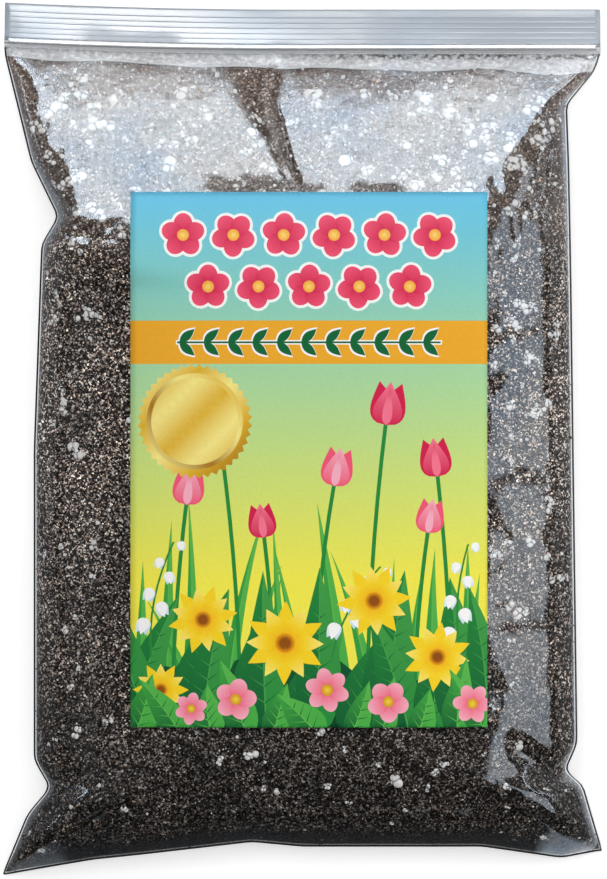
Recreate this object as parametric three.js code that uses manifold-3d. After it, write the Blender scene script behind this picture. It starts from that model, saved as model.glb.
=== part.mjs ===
// Clear press-to-close bag of potting soil, lying on its back with the label up.
// Millimetres, +Z up, the zip towards +Y. The origin is on the surface under the middle of the bag.

import * as THREE from "three";
import { mergeVertices } from "three/addons/utils/BufferGeometryUtils.js";
import Module from "manifold-3d";

// Flat bag: nominally 10 inches wide, of 4 mil film
const INSIDE_WIDTH = 257.4; // between the side seals
const SIDE_SEAL = 0.8; // weld bead on each side
const BOTTOM_SEAL = 0.8; // weld bead along the bottom
const BODY_LENGTH = 343.2; // bottom seal to zip, as the filled bag lies
const FILM = 0.1; // film thickness
const POCKET = 0.16; // front wall to back wall where they meet at a seal

// Filled bag, heights above the surface it lies on
const FILL_HEIGHT = 64; // top of the crown
const SIDE_HEIGHT = 23; // side seals along the body
const END_HEIGHT = 15; // middle of the bottom seal
const EAR_HEIGHT = 2.5; // bottom corners, which droop
const ZIP_HEIGHT = 8; // where the film meets the zip

// How far the filled body draws each side in from the flat width, at its foot and at its head
const LEFT_FOOT_DRAW = 13.3;
const LEFT_HEAD_DRAW = 16.5;
const RIGHT_FOOT_DRAW = 10.5;
const RIGHT_HEAD_DRAW = 13.8;

// Places where a side is pinched: how far from the zip or the bottom seal, and how far drawn in
const LEFT_SHOULDER_DOWN = 71;
const LEFT_SHOULDER_DRAW = 23.5;
const RIGHT_SHOULDER_DOWN = 22;
const RIGHT_SHOULDER_DRAW = 14.5;
const LEFT_PINCH_UP = 25.2;
const LEFT_PINCH_DRAW = 20;
const RIGHT_PINCH_UP = 32.2;
const RIGHT_PINCH_DRAW = 15.5;
const PINCH_LENGTH = 12; // length of side over which a pinch opens out again

// Ears at the bottom corners: below the middle of the bottom seal, and beyond the flat width
const LEFT_EAR_DROP = 13;
const RIGHT_EAR_DROP = 2.5;
const RIGHT_SAG = 5.5; // lowest part of the bottom seal, beside the right ear
const EAR_REACH = 1;
const MIDDLE_RISE = 2; // of the bottom seal, left of its middle
const LEFT_BEND_DROP = 5.85; // of the bottom seal where it bends towards the left ear

// Shares of the half width, from the bag's middle, where the bottom seal bends
const LEFT_BEND = 0.7;
const RISE_BEND = 0.17;
const RIGHT_BEND = 0.6;
const SAG_BEND = 0.87;
const EAR_SHARE = 0.5; // share over which the bottom seal falls to the ears

// Runs over which the walls turn from a seal to the crown, and from the flat back to a seal
const TOP_RUN = 105;
const BOTTOM_RUN = 52;
const BACK_SIDE_RUN = 34;
const BACK_END_RUN = 30;

const SEAL_RUN = 2; // within which the two walls part, beside a seal
const END_SQUARE = 7; // power of the section's curve near the ends, where the bag is flat across
const LEFT_SQUARE = 22; // the same at the left shoulder, where the slack film turns down sharply
const BODY_SQUARE = 3; // the same along the body, where it is crowned
const SHOULDER_HOLD = 0.7; // share of the top run over which the left shoulder stays square
const BOTTOM_ROUND = 0.6; // fullness of the bottom end
const HIP = 4; // how crisply the side and end slopes meet
const FOLD_FADE = 0.2; // share of a fold's length over which it dies away, each side of its end
const FOLD_ROUND = 1.4; // power of a fold's section: 1 has straight slopes, more is hollow
const SEAL_FADE = 0.25; // share of the crown's height below which folds die away

// Gripping lips and zip, above the body
const LIP_HEIGHT = 19.6;
const LIP = 0.25; // thickness of each lip
const LIP_DROP_LEFT = 6; // fall of the lips' top edge below the zip, at each end
const LIP_DROP_RIGHT = 2.5;
const ZIP_RISE = 3.2; // how far the left end of the zip bends towards the lips
const RIB_COUNT = 6;
const RIB_PITCH = 2.35;
const RIB_HEIGHT = 0.25;
const RIB_WIDTH = 0.8;
const RIB_CREST = 0.4; // flat top of a rib
const FIRST_RIB = 3.4; // below the lips' top edge
const ZIP_STEM = 0.7; // neck of the back lip's zip rib
const ZIP_HEAD = 1.7; // arrow head that the front lip's channel holds
const ZIP_NECK_RISE = 0.9; // height of the neck
const ZIP_HEAD_RISE = 0.8; // height of the head above the neck
const ZIP_WALL = 0.45; // wall of the channel
const ZIP_SLACK = 0.3; // clearance inside the closed zip and between the lips
const ZIP_UP = 2.6; // middle of the zip above the body

// Fill and label
const FILL_GAP = 0.3; // soil to film
const HEAD_SPACE = 2; // slack of the front film above the soil, near the zip
const CORNER_FILL = 1; // least depth of soil in the corners
const MOST_SLACK = 0.33; // share of the depth that the slack may take, and a hollow too
const LUMP_WIDTH = 72; // swell to swell of the settled mix, across the bag
const LUMP_LENGTH = 90; // the same along the bag
const LUMP_DEPTH = 3; // hollows between the swells, below the film
const LUMP_WANDER = 6; // how far the rows of swells stray to each side
const LUMP_FADE = 25; // distance from a seal within which the hollows die away
const LABEL_WIDTH = 152.4; // 6 by 9 inches
const LABEL_LENGTH = 228.6;
const LABEL_THICKNESS = 0.15;
const LABEL_GAP = 0.3;
const LABEL_RIGHT = 2.8; // middle of the label, right of the bag's middle
const LABEL_BELOW_ZIP = 176; // middle of the label, below the zip

// Facets
const COLUMNS = 22;
const ROWS = 30;
const CROWDING = 0.85;
const ZIP_STEPS = 8;

const HALF_WIDTH = INSIDE_WIDTH / 2;

const wasm = await Module();
wasm.setup();

const { lerp, clamp, smoothstep } = THREE.MathUtils;
const ease = (distance, run) => smoothstep(distance, 0, run);

// A line through stations of [place, value], its corners eased by averaging over a short stretch.
const CORNER = 2.5;
function track(stations) {
  const straight = (at) => {
    const next = stations.findIndex(([place]) => place > at);
    if (next === 0) return stations[0][1];
    if (next < 0) return stations[stations.length - 1][1];
    const [p0, v0] = stations[next - 1];
    const [p1, v1] = stations[next];
    return lerp(v0, v1, (at - p0) / (p1 - p0));
  };
  return (at) => (straight(at - CORNER) + 2 * straight(at) + straight(at + CORNER)) / 4;
}

// Outline of the filled bag, seen from above
const leftDraw = track([
  [-LEFT_EAR_DROP, -EAR_REACH],
  [LEFT_PINCH_UP - PINCH_LENGTH, LEFT_PINCH_DRAW / 2],
  [LEFT_PINCH_UP, LEFT_PINCH_DRAW],
  [LEFT_PINCH_UP + PINCH_LENGTH, LEFT_FOOT_DRAW],
  [BODY_LENGTH / 2, LEFT_FOOT_DRAW],
  [BODY_LENGTH - LEFT_SHOULDER_DOWN - PINCH_LENGTH, LEFT_HEAD_DRAW],
  [BODY_LENGTH - LEFT_SHOULDER_DOWN, LEFT_SHOULDER_DRAW],
  [BODY_LENGTH - LEFT_SHOULDER_DOWN + 2 * PINCH_LENGTH, LEFT_SHOULDER_DRAW / 2],
  [BODY_LENGTH, 0],
]);
const rightDraw = track([
  [-RIGHT_EAR_DROP, -EAR_REACH],
  [RIGHT_PINCH_UP - PINCH_LENGTH / 2, RIGHT_PINCH_DRAW / 2],
  [RIGHT_PINCH_UP, RIGHT_PINCH_DRAW],
  [RIGHT_PINCH_UP + PINCH_LENGTH, RIGHT_FOOT_DRAW],
  [BODY_LENGTH - RIGHT_SHOULDER_DOWN - 2 * PINCH_LENGTH, RIGHT_HEAD_DRAW],
  [BODY_LENGTH - RIGHT_SHOULDER_DOWN, RIGHT_SHOULDER_DRAW],
  [BODY_LENGTH - RIGHT_SHOULDER_DOWN / 3, RIGHT_SHOULDER_DRAW / 6],
  [BODY_LENGTH, 0],
]);
const bottomEdge = track([
  [-HALF_WIDTH, -LEFT_EAR_DROP],
  [-HALF_WIDTH * LEFT_BEND, -LEFT_BEND_DROP],
  [-HALF_WIDTH * RISE_BEND, MIDDLE_RISE],
  [0, 0],
  [HALF_WIDTH * RIGHT_BEND, 0],
  [HALF_WIDTH * SAG_BEND, -RIGHT_SAG],
  [HALF_WIDTH, -RIGHT_EAR_DROP],
]);
const zipEdge = (x) => BODY_LENGTH + ZIP_RISE * clamp(-x / HALF_WIDTH, 0, 2) ** 2;

// A point of the outline's inside: s runs -1 to 1 across, t runs 0 to 1 from the bottom seal to the zip.
function place(s, t) {
  const along = (side) => lerp(bottomEdge(side * HALF_WIDTH), zipEdge(side * HALF_WIDTH), t);
  const left = leftDraw(along(-1)) - HALF_WIDTH;
  const right = HALF_WIDTH - rightDraw(along(1));
  return { x: lerp(left, right, (s + 1) / 2), y: along(s), span: right - left };
}

// Folds in the slack front wall, from one [s, t] to another, with the width to each side at both ends.
// Each is a ridge, or a valley where rise is negative. Where the right side differs, it has its own widths.
const FOLDS = [
  { from: [-0.13, 1.02], to: [-0.05, 0.845], rise: -9, widths: [20, 5], right: [8, 3] }, // dent below the zip
  { from: [-1, 0.985], to: [-0.99, 0.885], rise: -5, widths: [9, 23] }, // left shoulder
  { from: [-0.99, 0.885], to: [-1, 0.775], rise: -5, widths: [23, 8] },
  { from: [1, 0.95], to: [0.86, 0.8], rise: -5, widths: [7, 28] }, // right shoulder
  { from: [-0.99, 0.772], to: [-0.8, 0.765], rise: -4, widths: [7, 6] }, // tucks at the pinched sides
  { from: [-0.97, 0.08], to: [-0.72, 0.05], rise: -5, widths: [9, 9] },
  { from: [0.98, 0.1], to: [0.74, 0.14], rise: -5, widths: [9, 9] },
  { from: [0.96, 0.46], to: [0.7, 0.48], rise: -2.5, widths: [11, 11] }, // hollows along the right side
  { from: [0.96, 0.29], to: [0.68, 0.3], rise: -2.5, widths: [11, 11] },
];
function foldRise(s, t) {
  const flat = (across, along) => new THREE.Vector2(across * HALF_WIDTH, along * BODY_LENGTH);
  return FOLDS.reduce((sum, { from, to, rise, widths, right = widths }) => {
    const run = flat(...to).sub(flat(...from));
    const point = flat(s, t).sub(flat(...from));
    const along = point.dot(run) / run.lengthSq();
    const off = point.cross(run) / run.length();
    const width = lerp(...(off > 0 ? widths : right), clamp(along, 0, 1));
    const across = Math.max(0, 1 - Math.abs(off) / width) ** FOLD_ROUND;
    const begin = ease(along + FOLD_FADE, 2 * FOLD_FADE);
    const end = ease(1 + FOLD_FADE - along, 2 * FOLD_FADE);
    return sum + rise * across * begin * end;
  }, 0);
}

// Inside faces of the front and back walls.
function walls(s, t) {
  const { x, y, span } = place(s, t);
  const length = zipEdge(s * HALF_WIDTH) - bottomEdge(s * HALF_WIDTH);
  const up = t * length;
  const down = length - up;
  const aside = ((1 - Math.abs(s)) * span) / 2;

  const endSeal = lerp(EAR_HEIGHT, END_HEIGHT, ease(1 - Math.abs(s), EAR_SHARE));
  const sideSeal = lerp(endSeal, SIDE_HEIGHT, ease(up, BOTTOM_RUN));
  const seal = lerp(ZIP_HEIGHT, sideSeal, ease(down, TOP_RUN));

  const hold = s < 0 ? SHOULDER_HOLD : 0;
  const footSquare = lerp(END_SQUARE, BODY_SQUARE, ease(up, BOTTOM_RUN));
  const square = lerp(s < 0 ? LEFT_SQUARE : END_SQUARE, footSquare, ease(down / TOP_RUN - hold, 1 - hold));
  const sideSlope = Math.sqrt(1 - Math.abs(s) ** square);
  const bottomSlope = (1 - (1 - clamp(up / BOTTOM_RUN, 0, 1)) ** 2) ** BOTTOM_ROUND;
  const zipSlope = 1 - (1 - clamp(down / TOP_RUN, 0, 1)) ** 2;
  const lack = [sideSlope, bottomSlope, zipSlope].reduce((sum, slope) => sum + (1 - slope) ** HIP, 0);
  const filled = Math.max(0, 1 - lack ** (1 / HIP));
  const folds = foldRise(s, t) * ease(filled, SEAL_FADE);
  const front = seal + POCKET / 2 + (FILL_HEIGHT - FILM - seal - POCKET / 2) * filled + folds;

  const turn = (distance, run) => 1 - Math.sqrt(1 - (1 - clamp(distance / run, 0, 1)) ** 2);
  const lift = Math.hypot(turn(aside, BACK_SIDE_RUN), turn(up, BACK_END_RUN), turn(down, BACK_END_RUN));
  const back = FILM + (seal - POCKET / 2 - FILM) * Math.min(1, lift);
  const inside = Math.min(aside, up, down);
  const least = POCKET + (CORNER_FILL + FILL_GAP) * ease(inside, SEAL_RUN);
  return { x, y, front: Math.max(front, back + least), back, inside };
}

// A point a given distance outside (or, negative, inside) one wall: side is 1 for front, -1 for back.
const STEP = 1e-3; // in s and t, for slopes
function wallPoint(s, t, side, outside) {
  const point = (s1, t1) => {
    const at = walls(clamp(s1, -1, 1), clamp(t1, 0, 1));
    return new THREE.Vector3(at.x, at.y, side > 0 ? at.front : at.back);
  };
  const across = point(s + STEP, t).sub(point(s - STEP, t));
  const along = point(s, t + STEP).sub(point(s, t - STEP));
  const atSeal = Math.abs(s) === 1 || t === 0 || t === 1;
  const normal = atSeal ? new THREE.Vector3(0, 0, 1) : across.cross(along).normalize();
  return point(s, t).addScaledVector(normal, side * outside);
}

// Grid lines lie closer together towards the seals, where the walls turn.
function gridPoint(a, b) {
  const crowd = (line) => lerp(line, Math.sin((line * Math.PI) / 2), CROWDING);
  return [crowd(a), (crowd(b) + 1) / 2];
}

const MERGE = 1e-4; // corners closer than this are one corner
function solid(geometry) {
  const bare = geometry.clone();
  bare.deleteAttribute("normal");
  bare.deleteAttribute("uv");
  const { attributes, index } = mergeVertices(bare, MERGE);
  const vertProperties = attributes.position.array;
  const triVerts = new Uint32Array(index.array);
  return new wasm.Manifold(new wasm.Mesh({ numProp: 3, vertProperties, triVerts }));
}

// A closed pillow: a flat block whose two large faces take the shape that wall gives them.
// Each pair of triangles meets along its fuller diagonal, which keeps the hips even.
function pillow(columns, rows, wall) {
  const block = new THREE.BoxGeometry(2, 2, 2, columns, rows, 1);
  const at = block.attributes.position;
  const sides = Array.from({ length: at.count }, (_, i) => Math.sign(at.getZ(i)));
  sides.forEach((side, i) => at.setXYZ(i, ...wall(at.getX(i), at.getY(i), side).toArray()));
  const corners = block.index.array;
  for (let i = 0; i < corners.length; i += 6) {
    const [a, b, d, , c] = corners.slice(i, i + 6);
    const fuller = sides[a] * (at.getZ(a) + at.getZ(c) - at.getZ(b) - at.getZ(d));
    if (sides[a] === sides[c] && fuller > 0) corners.set([a, b, c, a, c, d], i);
  }
  return solid(block);
}

// Outer faces of the film, with one more column at each side and one more row at the bottom for the seals.
function filmOutside() {
  const columns = COLUMNS + 2;
  const rows = ROWS + 1;
  return pillow(columns, rows, (a, b, side) => {
    const across = (a * columns) / COLUMNS;
    const row = ((b + 1) / 2) * rows - 1;
    const [s, t] = gridPoint(clamp(across, -1, 1), clamp((2 * row) / ROWS - 1, -1, 1));
    const point = wallPoint(s, t, side, FILM);
    if (Math.abs(across) > 1 + STEP) point.x += Math.sign(a) * SIDE_SEAL;
    if (row < -STEP) point.y -= BOTTOM_SEAL;
    return point;
  });
}

// The bag filled up to a given distance outside the film's inner faces, on the film's grid.
function filledTo(outside) {
  return pillow(COLUMNS, ROWS, (a, b, side) => wallPoint(...gridPoint(a, b), side, outside));
}

// A profile in (height above the body, depth) drawn along the zip's line, and tilted as the lips lie.
// With a seal, one more step at each end runs out over the side seals.
function alongZip(profile, seal) {
  const steps = seal > 0 ? ZIP_STEPS + 2 : ZIP_STEPS;
  const strip = new THREE.ExtrudeGeometry(new THREE.Shape(profile), { depth: 2, steps, bevelEnabled: false });
  const at = strip.attributes.position;
  for (let i = 0; i < at.count; i++) {
    const across = ((at.getZ(i) - 1) * steps) / ZIP_STEPS;
    const inside = clamp(across, -1, 1);
    const x = inside * HALF_WIDTH + Math.sign(Math.round((across - inside) * steps)) * seal;
    const drop = lerp(LIP_DROP_LEFT, LIP_DROP_RIGHT, (inside + 1) / 2);
    const above = at.getX(i);
    const depth = at.getY(i);
    at.setXYZ(i, x, zipEdge(x) + above, ZIP_HEIGHT + depth - (drop * above) / LIP_HEIGHT);
  }
  return solid(strip);
}

const OVERLAP = 1; // strips run this far into the body, to join it
const corner = (above, depth) => new THREE.Vector2(above, depth);
const headFoot = ZIP_SLACK / 2 + ZIP_NECK_RISE;
const headTop = headFoot + ZIP_HEAD_RISE;

// Both lips as one block, ribbed front and back, thick over the zip's channel.
function lipBlock() {
  const face = ZIP_SLACK / 2 + LIP;
  const ribs = (sign) => {
    const points = [];
    for (let i = RIB_COUNT - 1; i >= 0; i--) {
      const middle = LIP_HEIGHT - FIRST_RIB - i * RIB_PITCH;
      points.push(corner(middle - RIB_WIDTH / 2, sign * face));
      points.push(corner(middle - RIB_CREST / 2, sign * (face + RIB_HEIGHT)));
      points.push(corner(middle + RIB_CREST / 2, sign * (face + RIB_HEIGHT)));
      points.push(corner(middle + RIB_WIDTH / 2, sign * face));
    }
    return points;
  };
  const channelTop = headTop + ZIP_SLACK + ZIP_WALL;
  const channelHalf = ZIP_HEAD / 2 + ZIP_SLACK + ZIP_WALL;
  const channel = [
    corner(ZIP_UP - channelHalf - ZIP_WALL, face),
    corner(ZIP_UP - channelHalf, channelTop - ZIP_WALL),
    corner(ZIP_UP - channelHalf + ZIP_WALL, channelTop),
    corner(ZIP_UP + channelHalf - ZIP_WALL, channelTop),
    corner(ZIP_UP + channelHalf, channelTop - ZIP_WALL),
    corner(ZIP_UP + channelHalf + ZIP_WALL, face),
  ];
  const front = [corner(-OVERLAP, face), ...channel, ...ribs(1), corner(LIP_HEIGHT, face)];
  const back = [corner(-OVERLAP, -face), ...ribs(-1), corner(LIP_HEIGHT, -face)];
  return alongZip([...back, ...front.reverse()], SIDE_SEAL);
}

// The gap between the lips, which winds round the arrow-shaped rib inside the channel.
function zipGap() {
  const low = -ZIP_SLACK / 2;
  const high = ZIP_SLACK / 2;
  const tip = ZIP_STEM / 2;
  const rib = [
    corner(ZIP_UP - ZIP_STEM / 2, low),
    corner(ZIP_UP - ZIP_STEM / 2, headFoot),
    corner(ZIP_UP - ZIP_HEAD / 2, headFoot),
    corner(ZIP_UP - tip, headTop),
    corner(ZIP_UP + tip, headTop),
    corner(ZIP_UP + ZIP_HEAD / 2, headFoot),
    corner(ZIP_UP + ZIP_STEM / 2, headFoot),
    corner(ZIP_UP + ZIP_STEM / 2, low),
  ];
  const jaw = ZIP_STEM / 2 + ZIP_SLACK;
  const hollow = ZIP_HEAD / 2 + ZIP_SLACK;
  const channel = [
    corner(ZIP_UP - jaw, high),
    corner(ZIP_UP - jaw, headFoot - ZIP_SLACK),
    corner(ZIP_UP - hollow, headFoot - ZIP_SLACK),
    corner(ZIP_UP - hollow, headTop + ZIP_SLACK),
    corner(ZIP_UP + hollow, headTop + ZIP_SLACK),
    corner(ZIP_UP + hollow, headFoot - ZIP_SLACK),
    corner(ZIP_UP + jaw, headFoot - ZIP_SLACK),
    corner(ZIP_UP + jaw, high),
  ];
  const start = -OVERLAP;
  const end = LIP_HEIGHT + OVERLAP;
  const back = [corner(start, low), ...rib, corner(end, low)];
  const front = [corner(start, high), ...channel, corner(end, high)];
  return alongZip([...back, ...front.reverse()], 0);
}

function bagSolid() {
  return filmOutside().add(lipBlock()).subtract(filledTo(0).add(zipGap()));
}

// Lumps of the mix press against the film, and between them its surface falls back.
function hollow(x, y) {
  const across = x + LUMP_WANDER * Math.sin(y / LUMP_LENGTH);
  const along = y + LUMP_WANDER * Math.sin(x / LUMP_WIDTH);
  const wave = (at, length) => Math.cos((2 * Math.PI * at) / length);
  return (LUMP_DEPTH * (1 - wave(across, LUMP_WIDTH) * wave(along, LUMP_LENGTH))) / 2;
}

// The soil keeps to the film's own grid, one line in from each seal.
function soilSolid() {
  return pillow(COLUMNS - 2, ROWS - 2, (a, b, side) => {
    const [s, t] = gridPoint((a * (COLUMNS - 2)) / COLUMNS, (b * (ROWS - 2)) / ROWS);
    const { x, y, front, back, inside } = walls(s, t);
    const room = MOST_SLACK * (front - back - CORNER_FILL);
    const fallen = Math.min(hollow(x, y) * ease(inside, LUMP_FADE), room);
    const slack = HEAD_SPACE * smoothstep(t, 1 - TOP_RUN / BODY_LENGTH, 1);
    const point = wallPoint(s, t, side, -FILL_GAP - fallen);
    if (side > 0) point.z -= Math.min(slack, room);
    return point;
  });
}

// The label is a rectangle of a thin layer that follows the film's own grid, cut out above half height.
function labelSolid() {
  const tall = 2 * FILL_HEIGHT;
  const cutter = new THREE.BoxGeometry(LABEL_WIDTH, LABEL_LENGTH, tall);
  cutter.translate(LABEL_RIGHT, BODY_LENGTH - LABEL_BELOW_ZIP, (FILL_HEIGHT + tall) / 2);
  const underside = FILM + LABEL_GAP;
  return filledTo(underside + LABEL_THICKNESS).intersect(solid(cutter)).subtract(filledTo(underside));
}

function mesh(name, shape, look) {
  const { vertProperties, triVerts } = shape.getMesh();
  const geometry = new THREE.BufferGeometry();
  geometry.setAttribute("position", new THREE.Float32BufferAttribute(vertProperties, 3));
  geometry.setIndex(new THREE.Uint32BufferAttribute(triVerts, 1));
  geometry.computeVertexNormals();
  const made = new THREE.Mesh(geometry, new THREE.MeshStandardMaterial({ metalness: 0, ...look }));
  made.name = name;
  return made;
}

const bag = new THREE.Group();
bag.add(
  mesh("clear_bag", bagSolid(), { color: 0xe4ebf2, roughness: 0.15, transparent: true, opacity: 0.25 }),
  mesh("soil_mix", soilSolid(), { color: 0x2c231e, roughness: 0.95 }),
  mesh("label", labelSolid(), { color: 0xa8d8ad, roughness: 0.4 }),
);

// The middle of the outline comes over the origin.
const box = new THREE.Box3().setFromObject(bag);
const middle = box.getCenter(new THREE.Vector3());
bag.position.set(-middle.x, -middle.y, -box.min.z);

export default new THREE.Group().add(bag);
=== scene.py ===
import math

import bmesh
import bpy
import numpy as np
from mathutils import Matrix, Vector
from mathutils.geometry import delaunay_2d_cdt
from mathutils.kdtree import KDTree


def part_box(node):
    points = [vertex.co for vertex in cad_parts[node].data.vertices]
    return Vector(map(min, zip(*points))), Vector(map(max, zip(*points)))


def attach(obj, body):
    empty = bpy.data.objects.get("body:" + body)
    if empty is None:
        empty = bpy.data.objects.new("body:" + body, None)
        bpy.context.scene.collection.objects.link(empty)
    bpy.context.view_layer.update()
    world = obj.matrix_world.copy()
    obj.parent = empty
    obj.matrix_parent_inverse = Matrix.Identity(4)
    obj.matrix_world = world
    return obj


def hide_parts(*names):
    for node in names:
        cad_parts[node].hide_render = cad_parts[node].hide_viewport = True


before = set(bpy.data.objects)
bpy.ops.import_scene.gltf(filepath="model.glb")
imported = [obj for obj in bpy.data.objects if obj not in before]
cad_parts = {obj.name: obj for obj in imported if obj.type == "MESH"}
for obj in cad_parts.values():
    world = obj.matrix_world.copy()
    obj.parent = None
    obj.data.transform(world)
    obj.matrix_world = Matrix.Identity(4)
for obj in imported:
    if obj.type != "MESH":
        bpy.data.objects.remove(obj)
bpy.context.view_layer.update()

# Shapes are worked out in millimetres, as in the part's source, and become metres in the meshes.
MM = 0.001

# The filled bag, with the part's own values
HALF_WIDTH = 128.7
SIDE_SEAL = 0.8
BOTTOM_SEAL = 0.8
BODY_LENGTH = 343.2
FILM = 0.1
POCKET = 0.16
FILL_HEIGHT = 64.0
SIDE_HEIGHT = 23.0
END_HEIGHT = 15.0
EAR_HEIGHT = 2.5
ZIP_HEIGHT = 8.0
LEFT_FOOT_DRAW = 13.3
LEFT_HEAD_DRAW = 16.5
RIGHT_FOOT_DRAW = 10.5
RIGHT_HEAD_DRAW = 13.8
LEFT_SHOULDER_DOWN = 71.0
LEFT_SHOULDER_DRAW = 23.5
RIGHT_SHOULDER_DOWN = 22.0
RIGHT_SHOULDER_DRAW = 14.5
LEFT_PINCH_UP = 25.2
LEFT_PINCH_DRAW = 20.0
RIGHT_PINCH_UP = 32.2
RIGHT_PINCH_DRAW = 15.5
PINCH_LENGTH = 12.0
LEFT_EAR_DROP = 13.0
RIGHT_EAR_DROP = 2.5
RIGHT_SAG = 5.5
EAR_REACH = 1.0
MIDDLE_RISE = 2.0
LEFT_BEND_DROP = 5.85
LEFT_BEND = 0.7
RISE_BEND = 0.17
RIGHT_BEND = 0.6
SAG_BEND = 0.87
EAR_SHARE = 0.5
TOP_RUN = 105.0
BOTTOM_RUN = 52.0
BACK_SIDE_RUN = 34.0
BACK_END_RUN = 30.0
SEAL_RUN = 2.0
END_SQUARE = 7.0
LEFT_SQUARE = 22.0
BODY_SQUARE = 3.0
SHOULDER_HOLD = 0.7
BOTTOM_ROUND = 0.6
HIP = 4.0
FOLD_FADE = 0.2
FOLD_ROUND = 1.4
SEAL_FADE = 0.25
CORNER = 2.5
LIP_HEIGHT = 19.6
LIP = 0.25
LIP_DROP_LEFT = 6.0
LIP_DROP_RIGHT = 2.5
ZIP_RISE = 3.2
RIB_COUNT = 6
RIB_PITCH = 2.35
RIB_HEIGHT = 0.25
RIB_WIDTH = 0.8
FIRST_RIB = 3.4
ZIP_STEM = 0.7
ZIP_HEAD = 1.7
ZIP_NECK_RISE = 0.9
ZIP_HEAD_RISE = 0.8
ZIP_WALL = 0.45
ZIP_SLACK = 0.3
ZIP_UP = 2.6
FILL_GAP = 0.3
HEAD_SPACE = 2.0
CORNER_FILL = 1.0
MOST_SLACK = 0.33
LUMP_WIDTH = 72.0
LUMP_LENGTH = 90.0
LUMP_DEPTH = 3.0
LUMP_WANDER = 6.0
LUMP_FADE = 25.0
LABEL_WIDTH = 152.4
LABEL_LENGTH = 228.6
LABEL_THICKNESS = 0.15
LABEL_RIGHT = 2.8
LABEL_BELOW_ZIP = 176.0
LABEL_UP = BODY_LENGTH - LABEL_BELOW_ZIP

# The part's frame has the middle of the outline over the origin; the label's box shows the shift.
label_low, label_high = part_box("label")
SHIFT_X = (label_low[0] + label_high[0]) / 2 / MM - LABEL_RIGHT
SHIFT_Y = (label_low[1] + label_high[1]) / 2 / MM - LABEL_UP


def lerp(a, b, f):
    return a + (b - a) * f


def clamp(value, low=0.0, high=1.0):
    return np.clip(value, low, high)


def ease(distance, run):
    f = clamp(np.asarray(distance, float) / run)
    return f * f * (3 - 2 * f)


def track(stations):
    """A line through stations of (place, value), its corners eased over a short stretch."""
    places, values = np.array(stations, float).T

    def at(place):
        def straight(p):
            return np.interp(p, places, values)

        return (straight(place - CORNER) + 2 * straight(place) + straight(place + CORNER)) / 4

    return at


left_draw = track([
    (-LEFT_EAR_DROP, -EAR_REACH),
    (LEFT_PINCH_UP - PINCH_LENGTH, LEFT_PINCH_DRAW / 2),
    (LEFT_PINCH_UP, LEFT_PINCH_DRAW),
    (LEFT_PINCH_UP + PINCH_LENGTH, LEFT_FOOT_DRAW),
    (BODY_LENGTH / 2, LEFT_FOOT_DRAW),
    (BODY_LENGTH - LEFT_SHOULDER_DOWN - PINCH_LENGTH, LEFT_HEAD_DRAW),
    (BODY_LENGTH - LEFT_SHOULDER_DOWN, LEFT_SHOULDER_DRAW),
    (BODY_LENGTH - LEFT_SHOULDER_DOWN + 2 * PINCH_LENGTH, LEFT_SHOULDER_DRAW / 2),
    (BODY_LENGTH, 0),
])
right_draw = track([
    (-RIGHT_EAR_DROP, -EAR_REACH),
    (RIGHT_PINCH_UP - PINCH_LENGTH / 2, RIGHT_PINCH_DRAW / 2),
    (RIGHT_PINCH_UP, RIGHT_PINCH_DRAW),
    (RIGHT_PINCH_UP + PINCH_LENGTH, RIGHT_FOOT_DRAW),
    (BODY_LENGTH - RIGHT_SHOULDER_DOWN - 2 * PINCH_LENGTH, RIGHT_HEAD_DRAW),
    (BODY_LENGTH - RIGHT_SHOULDER_DOWN, RIGHT_SHOULDER_DRAW),
    (BODY_LENGTH - RIGHT_SHOULDER_DOWN / 3, RIGHT_SHOULDER_DRAW / 6),
    (BODY_LENGTH, 0),
])
bottom_edge = track([
    (-HALF_WIDTH, -LEFT_EAR_DROP),
    (-HALF_WIDTH * LEFT_BEND, -LEFT_BEND_DROP),
    (-HALF_WIDTH * RISE_BEND, MIDDLE_RISE),
    (0, 0),
    (HALF_WIDTH * RIGHT_BEND, 0),
    (HALF_WIDTH * SAG_BEND, -RIGHT_SAG),
    (HALF_WIDTH, -RIGHT_EAR_DROP),
])


def zip_edge(x):
    return BODY_LENGTH + ZIP_RISE * clamp(-x / HALF_WIDTH, 0, 2) ** 2


def sides(t):
    """The inside edges of the left and right side seals at t."""
    left = left_draw(lerp(bottom_edge(-HALF_WIDTH), zip_edge(-HALF_WIDTH), t)) - HALF_WIDTH
    right = HALF_WIDTH - right_draw(lerp(bottom_edge(HALF_WIDTH), zip_edge(HALF_WIDTH), t))
    return left, right


def place(s, t):
    """x, y and the width of the bag at s, from -1 at the left to 1, and t, from 0 at the bottom to 1."""
    left, right = sides(t)
    y = lerp(bottom_edge(s * HALF_WIDTH), zip_edge(s * HALF_WIDTH), t)
    return lerp(left, right, (s + 1) / 2), y, right - left


UNPLACE_ROUNDS = 20


def unplace(x, y):
    """s and t of a point seen from above, found step by step."""
    s, t = x / HALF_WIDTH, y / BODY_LENGTH
    for _ in range(UNPLACE_ROUNDS):
        left, right = sides(t)
        s = 2 * (x - left) / (right - left) - 1
        low = bottom_edge(s * HALF_WIDTH)
        t = (y - low) / (zip_edge(s * HALF_WIDTH) - low)
    return s, t


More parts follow.
